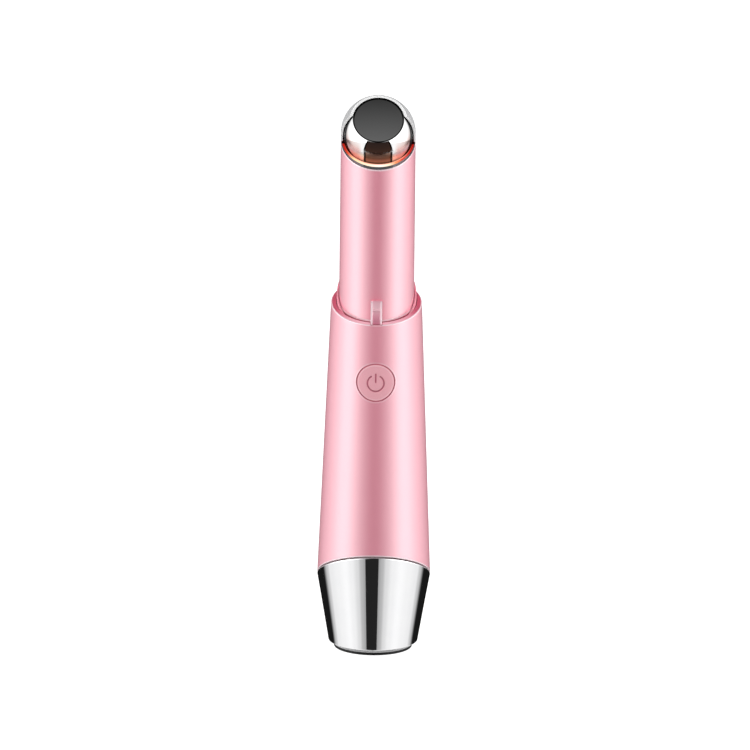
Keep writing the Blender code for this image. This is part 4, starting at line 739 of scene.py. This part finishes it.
class Recipe:
    """A node tree, and the one way to add to it: a node's type, settings and sockets' values or links."""

    def __init__(self, tree):
        self.tree = tree
        tree.nodes.clear()

    def add(self, kind, settings=None, inputs=None, output=0):
        node = self.tree.nodes.new(kind)
        for key, value in (settings or {}).items():
            if key == "stops":
                elements = node.color_ramp.elements
                while len(elements) < len(value):
                    elements.new(0.5)
                for element, (position, shade) in zip(elements, value):
                    element.position = position
                    element.color = linear(shade)
            else:
                setattr(node, key, value)
        for key, value in (inputs or {}).items():
            if isinstance(value, Wire):
                self.tree.links.new(value.socket, node.inputs[key])
            else:
                node.inputs[key].default_value = value
        return Wire(self, node.outputs[output]) if node.outputs else node

    def place(self):
        return self.add("ShaderNodeTexCoord", output="Object")

    def parts(self, vector):
        node = self.add("ShaderNodeSeparateXYZ", inputs={0: vector})
        return [Wire(self, socket) for socket in node.socket.node.outputs]

    def xyz(self):
        """The point's own place on the piece, in metres."""
        return self.parts(self.place())

    def rays(self):
        """1 for a ray from the camera, for a mirrored one and for one that passes through."""
        outputs = self.add("ShaderNodeLightPath").socket.node.outputs
        return [Wire(self, outputs["Is %s Ray" % kind]) for kind in ("Camera", "Glossy", "Transmission")]

    def noise(self, scale, detail=2.0, vector=None):
        inputs = {"Vector": vector or self.place(), "Scale": scale, "Detail": detail}
        return self.add("ShaderNodeTexNoise", inputs=inputs)

    def mix(self, share, *shades):
        first, second = (shade if isinstance(shade, Wire) else linear(shade) for shade in shades)
        return self.add("ShaderNodeMix", {"data_type": "RGBA"}, {0: share, 6: first, 7: second}, 2)

    def ramp(self, value, stops, interpolation="LINEAR"):
        node = self.add("ShaderNodeValToRGB", {"stops": stops}, {0: value})
        node.socket.node.color_ramp.interpolation = interpolation
        return node

    def bump(self, height, distance):
        return self.add("ShaderNodeBump", inputs={"Height": height, "Distance": distance, "Strength": 1.0})


# Colours of the painted highlights on edges, of the painted shade in gaps and grooves, and of polished metal
PAINTED_HIGHLIGHT = (255, 222, 230)
PAINTED_SHADE_ROSE = (176, 92, 110)
PAINTED_GAP_SHADE = (222, 124, 142)
POLISHED = (252, 252, 252)

# Where painted highlights, painted shade and the lens's glow start to change and where they are full, as
# lengths from the edge or axis they follow. A ring or line of four lengths starts, is full, fades and ends
# there.
RIM_FACE_BELOW = (0.00003, 0.0001)
RIM_FACE_DEPTH = (0.00028, 0.00036)
RIM_FACE_TONE = (0.0040, 0.0112)
RIM_LINE = (0.00018, 0.00030)
SEAM_LINE = (0.00018, 0.00032)
HOLE_SHADE = (0.00490, 0.00502)
HOLE_RING = (0.00502, 0.00512, 0.00526, 0.00542)
BACK_HALF = (0.0, 0.001)
LIP_LINE = (0.00022, 0.00042)
SLEEVE_LINE = (-0.00026, -0.00014, 0.00012, 0.00030)
SLEEVE_SHADE = (-0.00032, -0.00020)
TONGUE_START = (0.01022, 0.01030)
RAIL_START = (0.01075, 0.01090)
RAIL_SIDE = (0.00088, 0.00098)
FACE_RING = (0.00425, 0.00440, 0.00455, 0.00466)
HOOD_LINE = (0.00004, 0.00016)
FOOT_LINE = (0.00068, 0.00080)
LENS_EDGE = (-0.0001, 0.00002)

# The same for the probe's painted reflections: dark at its sides, salmon on its flanks and brown at its front
OVAL_REACH = 0.00612
OVAL_LEAN = 0.012
OVAL_LINE = (0.0, 0.0001)
OVAL_LEVEL = (0.0059, 0.0061)
BALL_LEVEL = (0.0058, 0.0060)
BALL_SIDES = (-0.00375, -0.00335)
FLANK_SIDE = (0.0039, 0.0052)
FLANK_HEIGHT = 0.007
FRONT_SIDE = (0.0035, 0.0038)
FRONT_TOP = (0.0030, 0.0039)
FRONT_HEIGHT = 0.0036
PILLAR_SIDE = (0.0030, 0.0033)
DULL_HEIGHT = (0.0015, 0.0048)


def blank(name):
    """New material, and the recipe of its empty node tree."""
    material = bpy.data.materials.new(name)
    material.use_nodes = True
    return material, Recipe(material.node_tree)


def finish(name, paint, **fixed):
    """Material with one Principled shader: paint gives the inputs that vary, fixed those that don't."""
    material, recipe = blank(name)
    inputs = {key.replace("_", " "): value for key, value in fixed.items()}
    inputs.update(paint(recipe))
    shader = recipe.add("ShaderNodeBsdfPrincipled", inputs=inputs)
    recipe.add("ShaderNodeOutputMaterial", inputs={"Surface": shader})
    return material


def pearl_lacquer(accent):
    """Pearl pink with fine flakes in its colour, gloss and skin; accent adds painted light on its edges."""
    def paint(recipe):
        flake = recipe.noise(7000.0, 1.0)
        cloud = recipe.noise(60.0)
        tone = (flake - 0.5) * 0.35 + (cloud - 0.5) * 0.2 + 0.5
        pink = recipe.mix(tone.clamped(), (240, 149, 168), (249, 163, 180))
        return {
            "Base Color": accent(recipe, pink),
            "Roughness": 0.30 + (flake - 0.5) * 0.08,
            "Normal": recipe.bump(flake, 0.000002),
        }
    return paint


def handle_painted_light(recipe, pink):
    """Painted deep rose shade on the rim's face, and painted highlight lines on the rim's and seam's edges."""
    x, y, z = recipe.xyz()
    depth = HANDLE.at(z) - (x * x + y * y) ** 0.5
    under = RIM.at(y) - z
    face = (1 - under.smooth(*RIM_FACE_BELOW)) * depth.smooth(*RIM_FACE_DEPTH)
    rim = 1 - under.math("MAXIMUM", depth).smooth(*RIM_LINE)
    seam = 1 - (z - SEAM.at(y)).smooth(*SEAM_LINE)
    # Painted shade inside the button's hole, and a painted highlight ring by the button on its front half
    reach = (x * x + (z - BUTTON_HEIGHT) ** 2) ** 0.5
    front = 1 - y.smooth(*BACK_HALF)
    hole = 1 - reach.smooth(*HOLE_SHADE)
    bright = rim.math("MAXIMUM", seam).math("MAXIMUM", reach.band(*HOLE_RING) * front * 0.35)
    # bare is the rim face's painted shade: deep rose at the sides and back, paler towards the front
    bare = recipe.mix((-y).smooth(*RIM_FACE_TONE), (222, 100, 128), (255, 198, 212))
    toned = recipe.mix(hole * front, recipe.mix(face, pink, bare), PAINTED_GAP_SHADE)
    return recipe.mix(bright, toned, PAINTED_HIGHLIGHT)


def barrel_painted_light(recipe, pink):
    """Painted highlights on the mouth's lip and where the barrel leaves the handle, and painted shade below.
    """
    y, z = recipe.xyz()[1:]
    lip = 1 - (MOUTH.at(y) - z).smooth(*LIP_LINE)
    over = z - RIM.at(y)
    # Painted shade where the barrel sinks into the gap, and painted highlight lines on the lip and above the
    # gap
    toned = recipe.mix(1 - over.smooth(*SLEEVE_SHADE), pink, PAINTED_SHADE_ROSE)
    return recipe.mix(lip.math("MAXIMUM", over.band(*SLEEVE_LINE)), toned, PAINTED_HIGHLIGHT)


def tongue_painted_light(recipe, pink):
    """Painted highlights on the snap tongue's rails and bump, painted shade in its hollow towards the foot."""
    x, y, z = recipe.xyz()
    tongue = (-y).smooth(*TONGUE_START)
    rail = (-y).smooth(*RAIL_START) * abs(x).smooth(*RAIL_SIDE)
    share = (z - TONGUE_BASE) / (TONGUE_TOP - TONGUE_BASE)
    # Painted shade deepest at the hollow's foot, rising to a painted highlight over the bump
    stops = [(0.0, (212, 130, 154)), (0.35, (240, 162, 182)), (0.7, (255, 206, 216)),
             (1.0, (245, 184, 200))]
    hollow = recipe.ramp(share, stops)
    return recipe.mix(tongue, pink, recipe.mix(rail, hollow, (255, 218, 228)))


def rose_plastic(recipe):
    """Satin rose; painted shade in the symbol's groove and round the side, and a painted highlight ring."""
    groove = recipe.add("ShaderNodeAttribute", {"attribute_name": "groove"}, output="Fac")
    grain = recipe.noise(4000.0)
    x, _, z = recipe.xyz()
    reach = (x * x + (z - BUTTON_HEIGHT) ** 2) ** 0.5
    side = reach.smooth(BUTTON_RADIUS - BUTTON_EDGE, BUTTON_RADIUS - BUTTON_EDGE / 3)
    face = recipe.mix(grain, (240, 168, 180), (248, 182, 192))
    # Painted highlight ring just inside the face's edge
    face = recipe.mix(reach.band(*FACE_RING) * 0.6, face, (255, 206, 214))
    return {
        "Base Color": recipe.mix(side, recipe.mix(groove, face, PAINTED_SHADE_ROSE), PAINTED_GAP_SHADE),
        "Roughness": 0.42 + (grain - 0.5) * 0.1,
        "Normal": recipe.bump(grain, 0.000003),
    }


def mirror_chrome(recipe):
    """Bright plating with faint wipe marks in its gloss."""
    haze = recipe.noise(220.0, 3.0)
    return {
        "Base Color": recipe.mix(haze, (246, 246, 248), POLISHED),
        "Roughness": 0.035 + haze.smooth(0.45, 0.8) * 0.04,
    }


def probe_painted_reflection(recipe):
    """Polished steel with painted reflections: dark at its sides and the face's edge, salmon near the light
    ring.

    The height over the mouth's plane gives the painted salmon of the flanks and the painted brown of the
    front.
    """
    x, y, z = recipe.xyz()
    haze = recipe.noise(300.0, 3.0)
    rise = z - PROBE_HEIGHT
    level = rise * math.cos(FACET_TILT) - y * math.sin(FACET_TILT)
    upward = rise * math.sin(FACET_TILT) + y * math.cos(FACET_TILT)
    reach = (x * x + upward * upward) ** 0.5
    # Painted dark reflection along the face's edge
    outline = (reach - (OVAL_REACH - upward * OVAL_LEAN)).smooth(*OVAL_LINE) * level.smooth(*OVAL_LEVEL)
    over = z - MOUTH.at(y)
    # Painted salmon glow of the light ring on the flanks, fading to plain steel with height
    ring_glow_painted = [(0.0, (238, 216, 220)), (0.24, (238, 214, 216)), (0.36, (238, 196, 190)),
              (0.44, (240, 194, 188)), (0.56, (245, 222, 216)), (0.75, (251, 244, 242)),
              (1.0, POLISHED)]
    flank = recipe.mix(abs(x).smooth(*FLANK_SIDE), POLISHED, recipe.ramp(over / FLANK_HEIGHT, ring_glow_painted))
    # Painted dark reflection at the ball's sides, and a painted brown and black reflection down its front
    sides = y.smooth(*BALL_SIDES) * (1 - level.smooth(*BALL_LEVEL))
    front = (1 - abs(x).smooth(*FRONT_SIDE)) * (1 - over.smooth(*FRONT_TOP))
    depth = [(0.0, (156, 140, 128)), (0.35, (110, 88, 76)), (0.65, (146, 116, 102)),
             (0.85, (176, 142, 126)), (1.0, (96, 80, 74))]
    pillar = recipe.mix(abs(x).smooth(*PILLAR_SIDE), recipe.ramp(over / FRONT_HEIGHT, depth), (16, 12, 11))
    shade = recipe.mix(front, flank, pillar)
    return {
        "Base Color": recipe.mix(sides.math("MAXIMUM", outline), shade, (10, 10, 11)),
        "Roughness": 0.03 + haze.smooth(0.4, 0.8) * 0.03 + (1 - over.smooth(*DULL_HEIGHT)) * 0.45,
    }


def satin_grey(light, dark, accent):
    """Pale satin plastic with a fine moulded grain; accent adds painted light on its edges."""
    def paint(recipe):
        grain = recipe.noise(5000.0)
        cloud = recipe.noise(90.0)
        return {
            "Base Color": accent(recipe, recipe.mix(cloud.smooth(0.3, 0.7), dark, light)),
            "Roughness": 0.5 + (grain - 0.5) * 0.12,
            "Normal": recipe.bump(grain, 0.000003),
        }
    return paint


def hood_painted_highlight(recipe, grey):
    """Painted highlight in white along the hood's two cuts: the leaning front and the probe's face plane."""
    y, z = recipe.xyz()[1:]
    rise = z - PROBE_HEIGHT
    behind = y + (rise - HOOD_FRONT_RISE) * HOOD_FRONT_LEAN + HOOD_FRONT
    under = y * math.sin(FACET_TILT) - rise * math.cos(FACET_TILT) + HOOD_FACE_LEVEL
    rim = 1 - behind.math("MINIMUM", under).smooth(*HOOD_LINE)
    return recipe.mix(rim, grey, (255, 255, 255))


def foot_painted_shade(recipe, grey):
    """Painted shade in black along the foot's lower edge."""
    return recipe.mix(recipe.xyz()[2].smooth(*FOOT_LINE), (5, 5, 6), grey)


def dark_plating(recipe):
    """Gunmetal plating with fine lines along the ring."""
    line = recipe.noise(2500.0, 1.0)
    return {
        "Base Color": recipe.mix(line, (104, 106, 109), (120, 122, 126)),
        "Roughness": 0.22 + line * 0.08,
    }


def glowing_lens(recipe):
    """Lit lens: its flat edge is warm white at the front, orange beside it and deep red towards the ends."""
    x, y, _ = recipe.xyz()
    turn = x.math("ARCTAN2", -y) / math.pi + 0.5
    stops = [
        (0.0, (0.36, 0.004, 0.002, 1)), (0.10, (0.50, 0.012, 0.003, 1)), (0.17, (0.74, 0.10, 0.03, 1)),
        (0.24, (0.95, 0.72, 0.36, 1)), (0.40, (1.0, 0.88, 0.66, 1)), (0.52, (1.0, 0.97, 0.90, 1)),
        (0.62, (1.0, 0.86, 0.60, 1)), (0.68, (0.90, 0.30, 0.09, 1)), (0.75, (0.60, 0.035, 0.008, 1)),
        (0.84, (0.50, 0.006, 0.002, 1)), (1.0, (0.30, 0.003, 0.002, 1)),
    ]
    reach = x * x + y * y
    flat = (reach ** 0.5 - x * x / reach * LENS_SIDE - LENS_REACH).smooth(*LENS_EDGE)
    wall = recipe.mix(abs(turn - 0.5).smooth(0.24, 0.44), (0.88, 0.36, 0.24, 1), (0.45, 0.05, 0.03, 1))
    glow = recipe.mix(flat, wall, recipe.ramp(turn, stops))
    grain = recipe.noise(3000.0)
    return {
        "Base Color": recipe.mix(grain, (90, 12, 8), (110, 20, 12)),
        "Emission Color": glow,
        "Roughness": 0.3 + grain * 0.1,
    }


def moulded(light, dark, rough):
    """Moulded plastic: a fine spark-eroded grain and a slight cloudiness."""
    def paint(recipe):
        grain = recipe.noise(3500.0, 3.0)
        cloud = recipe.noise(150.0)
        return {
            "Base Color": recipe.mix(cloud.smooth(0.3, 0.7), dark, light),
            "Roughness": rough + (grain - 0.5) * 0.15,
            "Normal": recipe.bump(grain, 0.000006),
        }
    return paint


def worked_metal(light, dark, rough):
    """Drawn or rolled metal with lines across its height."""
    def paint(recipe):
        inputs = {"Vector": recipe.place(), "Scale": (40.0, 40.0, 2600.0)}
        vector = recipe.add("ShaderNodeMapping", inputs=inputs)
        line = recipe.noise(1.0, 3.0, vector=vector)
        return {
            "Base Color": recipe.mix(line.smooth(0.3, 0.7), dark, light),
            "Roughness": rough + (line - 0.5) * 0.2,
            "Normal": recipe.bump(line, 0.000003),
        }
    return paint


def wound_copper(recipe):
    """Enamelled copper wire, laid in close turns."""
    inputs = {"Vector": recipe.place(), "Scale": 900.0}
    turns = recipe.add("ShaderNodeTexWave", {"bands_direction": "Z"}, inputs, "Fac")
    return {
        "Base Color": recipe.mix(turns, (120, 52, 28), (206, 120, 74)),
        "Roughness": 0.35 - turns * 0.1,
        "Normal": recipe.bump(turns, 0.00005),
    }


def printed_board(recipe):
    """Green solder mask with brighter copper runs and silver pads under it."""
    cells = {"Vector": recipe.place(), "Scale": 1300.0}
    edge = recipe.add("ShaderNodeTexVoronoi", {"distance": "MANHATTAN"}, cells, "Distance")
    runs = edge.band(0.28, 0.34, 0.40, 0.46)
    pads = 1 - edge.smooth(0.10, 0.14)
    mask = recipe.mix(runs, (18, 78, 42), (40, 118, 62))
    return {
        "Base Color": recipe.mix(pads, mask, (196, 198, 190)),
        "Metallic": pads * 0.8,
        "Roughness": 0.38 - pads * 0.1,
        "Normal": recipe.bump(runs + pads, 0.00002),
    }


def shrink_sleeve(recipe):
    """Printed heat-shrink film with soft wrinkles."""
    film = recipe.noise(500.0, 3.0)
    return {
        "Base Color": recipe.mix(film, (36, 84, 160), (54, 108, 190)),
        "Roughness": 0.28 + film * 0.12,
        "Normal": recipe.bump(film, 0.00003),
    }


def insulation(light, dark):
    """Soft extruded insulation, a little uneven."""
    def paint(recipe):
        skin = recipe.noise(1500.0)
        return {
            "Base Color": recipe.mix(skin, dark, light),
            "Roughness": 0.45 + (skin - 0.5) * 0.15,
            "Normal": recipe.bump(skin, 0.00001),
        }
    return paint


COAT = {"Coat_Weight": 1.0, "Coat_IOR": 2.3, "Coat_Roughness": 0.24}
MATT = {"Specular_IOR_Level": 0.2}
FINISHES = {
    "handle": finish("handle_pearl", pearl_lacquer(handle_painted_light), **COAT),
    "barrel": finish("barrel_pearl", pearl_lacquer(barrel_painted_light), **COAT),
    "collar": finish("collar_pearl", pearl_lacquer(tongue_painted_light), **COAT),
    "button": finish("rose_button", rose_plastic, Coat_Weight=0.3, Coat_Roughness=0.35),
    "cup": finish("mirror_chrome", mirror_chrome, Metallic=1.0),
    "probe": finish("probe_metal_painted_reflection", probe_painted_reflection, Metallic=1.0),
    "hood": finish("hood_grey", satin_grey((182, 182, 183), (179, 179, 180), hood_painted_highlight), **MATT),
    "foot": finish("foot_grey", satin_grey((214, 214, 215), (206, 206, 207), foot_painted_shade), **MATT),
    "trim": finish("trim_gunmetal", dark_plating, Metallic=0.5),
    "light": finish("glowing_lens", glowing_lens, Emission_Strength=1.1),
}
for key, piece in PIECES.items():
    piece.data.materials.clear()
    piece.data.materials.append(FINISHES[key])

BLACK = finish("moulded_black", moulded((34, 34, 36), (22, 22, 24), 0.5))
WHITE = finish("moulded_white", moulded((232, 231, 226), (220, 219, 214), 0.45))
GREY = finish("moulded_grey", moulded((142, 145, 148), (126, 129, 132), 0.5))
FERRITE = finish("magnet_ferrite", moulded((78, 78, 82), (58, 58, 62), 0.7))
CERAMIC = finish("heater_ceramic", moulded((236, 233, 222), (224, 220, 208), 0.6))
STEEL = finish("rolled_steel", worked_metal((206, 206, 208), (178, 178, 182), 0.3), Metallic=1.0)
BRASS = finish("turned_brass", worked_metal((222, 186, 112), (196, 158, 84), 0.28), Metallic=1.0)
TIN = finish("can_tin", worked_metal((196, 190, 176), (170, 160, 140), 0.32), Metallic=1.0)
COPPER = finish("wound_copper", wound_copper, Metallic=0.9)
BOARD = finish("printed_board", printed_board)
SLEEVE = finish("shrink_sleeve", shrink_sleeve)
LAMP = finish("lamp_lens", glowing_lens, Emission_Strength=0.6)
RED_WIRE = finish("red_insulation", insulation((206, 40, 34), (178, 28, 26)))
BLACK_WIRE = finish("black_insulation", insulation((44, 44, 46), (28, 28, 30)))
WHITE_WIRE = finish("white_insulation", insulation((236, 234, 230), (214, 212, 206)))
INNER = {
    BLACK: ("charging_socket", "charge_chip", "control_chip", "temperature_sensor", "probe_seat",
            "switch_body", "drive_transistor_left", "drive_transistor_right"),
    WHITE: ("base_carrier", "motor_end_cap", "wire_header"),
    GREY: ("motor_holder", "chassis"),
    FERRITE: ("motor_magnet_left", "motor_magnet_right"),
    CERAMIC: ("heater_plate",),
    STEEL: ("base_screw_left", "base_screw_right", "motor_can", "motor_shaft", "eccentric_weight",
            "board_screw_low", "board_screw_high", "battery_tab"),
    BRASS: ("socket_pin", "switch_plunger"),
    TIN: ("board_capacitor_left", "board_capacitor_right"),
    COPPER: ("motor_armature",),
    BOARD: ("circuit_board", "charge_board", "led_board"),
    SLEEVE: ("battery_cell",),
    LAMP: tuple("red_led_%d" % number for number in range(1, 6)),
    RED_WIRE: ("motor_wire_left", "heater_wire_left", "charge_wire_left", "battery_wire_left"),
    BLACK_WIRE: ("motor_wire_right", "charge_wire_right", "battery_wire_right"),
    WHITE_WIRE: ("heater_wire_right", "led_wire_left", "led_wire_right"),
}
for material, names in INNER.items():
    for name in names:
        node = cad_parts[name]
        node.data.materials.clear()
        node.data.materials.append(material)


def studio_world():
    """White room: its reflections run in upright soft bands, dark at the front, at the back and overhead.

    Each band has its angle from the front in degrees, and its brightness there. The bands of level are those
    of the room's upper part, and the bands of below those of its lower part.
    """
    world = bpy.data.worlds.new("studio")
    bpy.context.scene.world = world
    world.use_nodes = True
    recipe = Recipe(world.node_tree)
    x, y, z = recipe.parts(recipe.add("ShaderNodeTexCoord", output="Generated"))
    turn = abs(x).math("ARCTAN2", -y) / math.pi
    aside = x.math("ARCTAN2", -y) / math.pi + 0.02 * (1 - turn.smooth(0.15, 0.45))

    def bands(angle, pairs, blend="EASE"):
        stops = [(degrees / 180, shade / 4) for degrees, shade in pairs]
        return recipe.ramp(angle, stops, blend).math("MULTIPLY", 4.0)

    level = bands(turn, [(0, 0.0), (9, 0.05), (28, 1.0), (44, 2.2), (60, 3.4), (78, 3.1), (96, 1.9),
                         (114, 1.1), (135, 0.5), (155, 0.2), (180, 0.12)], "LINEAR")
    below = bands(abs(aside), [(0, 0.017), (13.2, 0.017), (14.2, 0.38), (22, 0.5), (30, 0.75), (44, 0.93),
                               (60, 1.02), (80, 0.95), (102, 0.88), (111, 0.6), (126, 0.01)])
    below = below.math("MAXIMUM", (-z).smooth(0.475, 0.55) * turn.smooth(0.35, 0.5) * 0.95)
    share = (z + 0.355 - 0.08 * turn.smooth(0.62, 1.0)).smooth(-0.012, 0.012)
    walls = below * (1 - share) + level * share
    overhead = ((-y - 0.087) * 0.33 + 0.035).math("MAXIMUM", 0.006)
    up = z.smooth(0.45, 0.80)
    studio = walls * (1 - up) + overhead * up
    camera, glossy, through = recipe.rays()
    mirrored = (glossy + through).clamped()
    shade = camera + (1 - camera) * (mirrored * studio + (1 - mirrored) * 0.35)
    background = recipe.add("ShaderNodeBackground", inputs={"Color": shade, "Strength": 1.0})
    recipe.add("ShaderNodeOutputWorld", inputs={"Surface": background})


FLOOR_HALF = 3.0
FLOOR_GLOW = 0.84
CARD_NEAR = 0.0097
CARD_FAR = 0.0600
CARD_HALF = 0.034
CARD_SPREAD = 0.8
CARD_HEIGHT = 0.1283
LAMP_AIM = Vector((0, 0, 0.07))
STAND_OFF = 0.6
VIEW_RISE = math.radians(15.6)
VIEW_ROLL = math.radians(0.61)
VIEW_MIDDLE = 0.0715
PIXEL = 0.000255
PICTURE_WIDTH = 750 * PIXEL
VIEW_SHIFT = 0.75 * PIXEL


def sheet(name, points, faces, material):
    """Flat piece of the studio."""
    mesh = bpy.data.meshes.new(name)
    mesh.from_pydata(points, [], faces)
    mesh.materials.append(material)
    return linked(name, mesh)


def make_floor():
    """Wide pale floor that stays white round the object and keeps its soft shadow."""
    material, recipe = blank("floor_white")
    camera, glossy, through = recipe.rays()
    seen = (camera + glossy + through).clamped()
    white = recipe.add("ShaderNodeBsdfDiffuse", inputs={"Color": (0.5, 0.5, 0.5, 1)})
    glow = recipe.add("ShaderNodeEmission", inputs={"Color": (1, 1, 1, 1), "Strength": seen * FLOOR_GLOW})
    both = recipe.add("ShaderNodeAddShader", inputs={0: white, 1: glow})
    recipe.add("ShaderNodeOutputMaterial", inputs={"Surface": both})
    corners = [(-1, -1), (1, -1), (1, 1), (-1, 1)]
    points = [(x * FLOOR_HALF, y * FLOOR_HALF, 0) for x, y in corners]
    floor = sheet("floor", points, [(0, 1, 2, 3)], material)
    floor.visible_glossy = False


def card_half(away):
    """Half the card's width: it grows with the distance from the wand's axis to the power of the spread."""
    return CARD_HALF * (away / CARD_FAR) ** CARD_SPREAD


def make_card():
    """Dark card in front of the barrel that only reflections see: it darkens the front of the probe.

    It widens with distance, glows brown near the barrel, is black along its two long edges, and shows
    from above only.
    """
    material, recipe = blank("card_black")
    x, y, _ = recipe.xyz()
    inside = 1 - (abs(x) / card_half(-y)).smooth(0.82, 0.90)
    stops = [(0.0, (64, 43, 35)), (0.12, (52, 37, 32)), (0.4, (42, 32, 30)),
             (1.0, (33, 27, 26))]
    brown = recipe.ramp((-y - CARD_NEAR) / (CARD_FAR - CARD_NEAR), stops)
    glow = recipe.add("ShaderNodeEmission", inputs={"Color": recipe.mix(inside, (4, 3, 3), brown)})
    clear = recipe.add("ShaderNodeBsdfTransparent")
    above = recipe.add("ShaderNodeNewGeometry", output="Backfacing")
    both = recipe.add("ShaderNodeMixShader", inputs={0: above, 1: clear, 2: glow})
    recipe.add("ShaderNodeOutputMaterial", inputs={"Surface": both})
    rows = (CARD_NEAR, 0.0124, 0.0162, 0.0230, 0.0400, CARD_FAR)
    points = [(side * card_half(away), -away, CARD_HEIGHT) for away in rows for side in (-1, 1)]
    faces = [(2 * i, 2 * i + 1, 2 * i + 3, 2 * i + 2) for i in range(len(rows) - 1)]
    card = sheet("card", points, faces, material)
    card.visible_camera = card.visible_diffuse = card.visible_shadow = False


def soft_lamp(name, azimuth, elevation, size, watts):
    """Square area lamp that looks at the middle of the wand, left out of reflections."""
    turn, rise = math.radians(azimuth), math.radians(elevation)
    away = Vector((math.sin(turn) * math.cos(rise), -math.cos(turn) * math.cos(rise), math.sin(rise)))
    light = bpy.data.lights.new(name, "AREA")
    light.shape, light.size, light.energy = "SQUARE", size, watts
    lamp = linked(name, light)
    lamp.location = LAMP_AIM + away * STAND_OFF
    lamp.rotation_euler = away.to_track_quat("Z", "Y").to_euler()
    lamp.visible_glossy = False


def make_camera():
    """Level view from the front, 15.6 degrees above, without perspective, a little turned on its axis."""
    back = Vector((0, -math.cos(VIEW_RISE), math.sin(VIEW_RISE)))
    up, right = Vector((0, math.sin(VIEW_RISE), math.cos(VIEW_RISE))), Vector((1, 0, 0))
    across = right * math.cos(VIEW_ROLL) + up * math.sin(VIEW_ROLL)
    upward = up * math.cos(VIEW_ROLL) - right * math.sin(VIEW_ROLL)
    data = bpy.data.cameras.new("front_camera")
    data.type, data.ortho_scale = "ORTHO", PICTURE_WIDTH
    data.clip_start, data.clip_end = 0.01, 20.0
    camera = linked("front_camera", data)
    camera.matrix_world = Matrix((across, upward, back)).transposed().to_4x4()
    camera.location = Vector((0, 0, VIEW_MIDDLE)) - across * VIEW_SHIFT + back * STAND_OFF
    bpy.context.scene.camera = camera


studio_world()
make_floor()
make_card()
soft_lamp("left_lamp", -115, 12, 0.45, 3.1)
soft_lamp("right_lamp", 115, 12, 0.45, 3.1)
soft_lamp("front_lamp", 0, 35, 0.5, 1.85)
soft_lamp("top_lamp", 180, 75, 0.5, 0.3)
make_camera()
bpy.context.scene.view_settings.view_transform = "Standard"
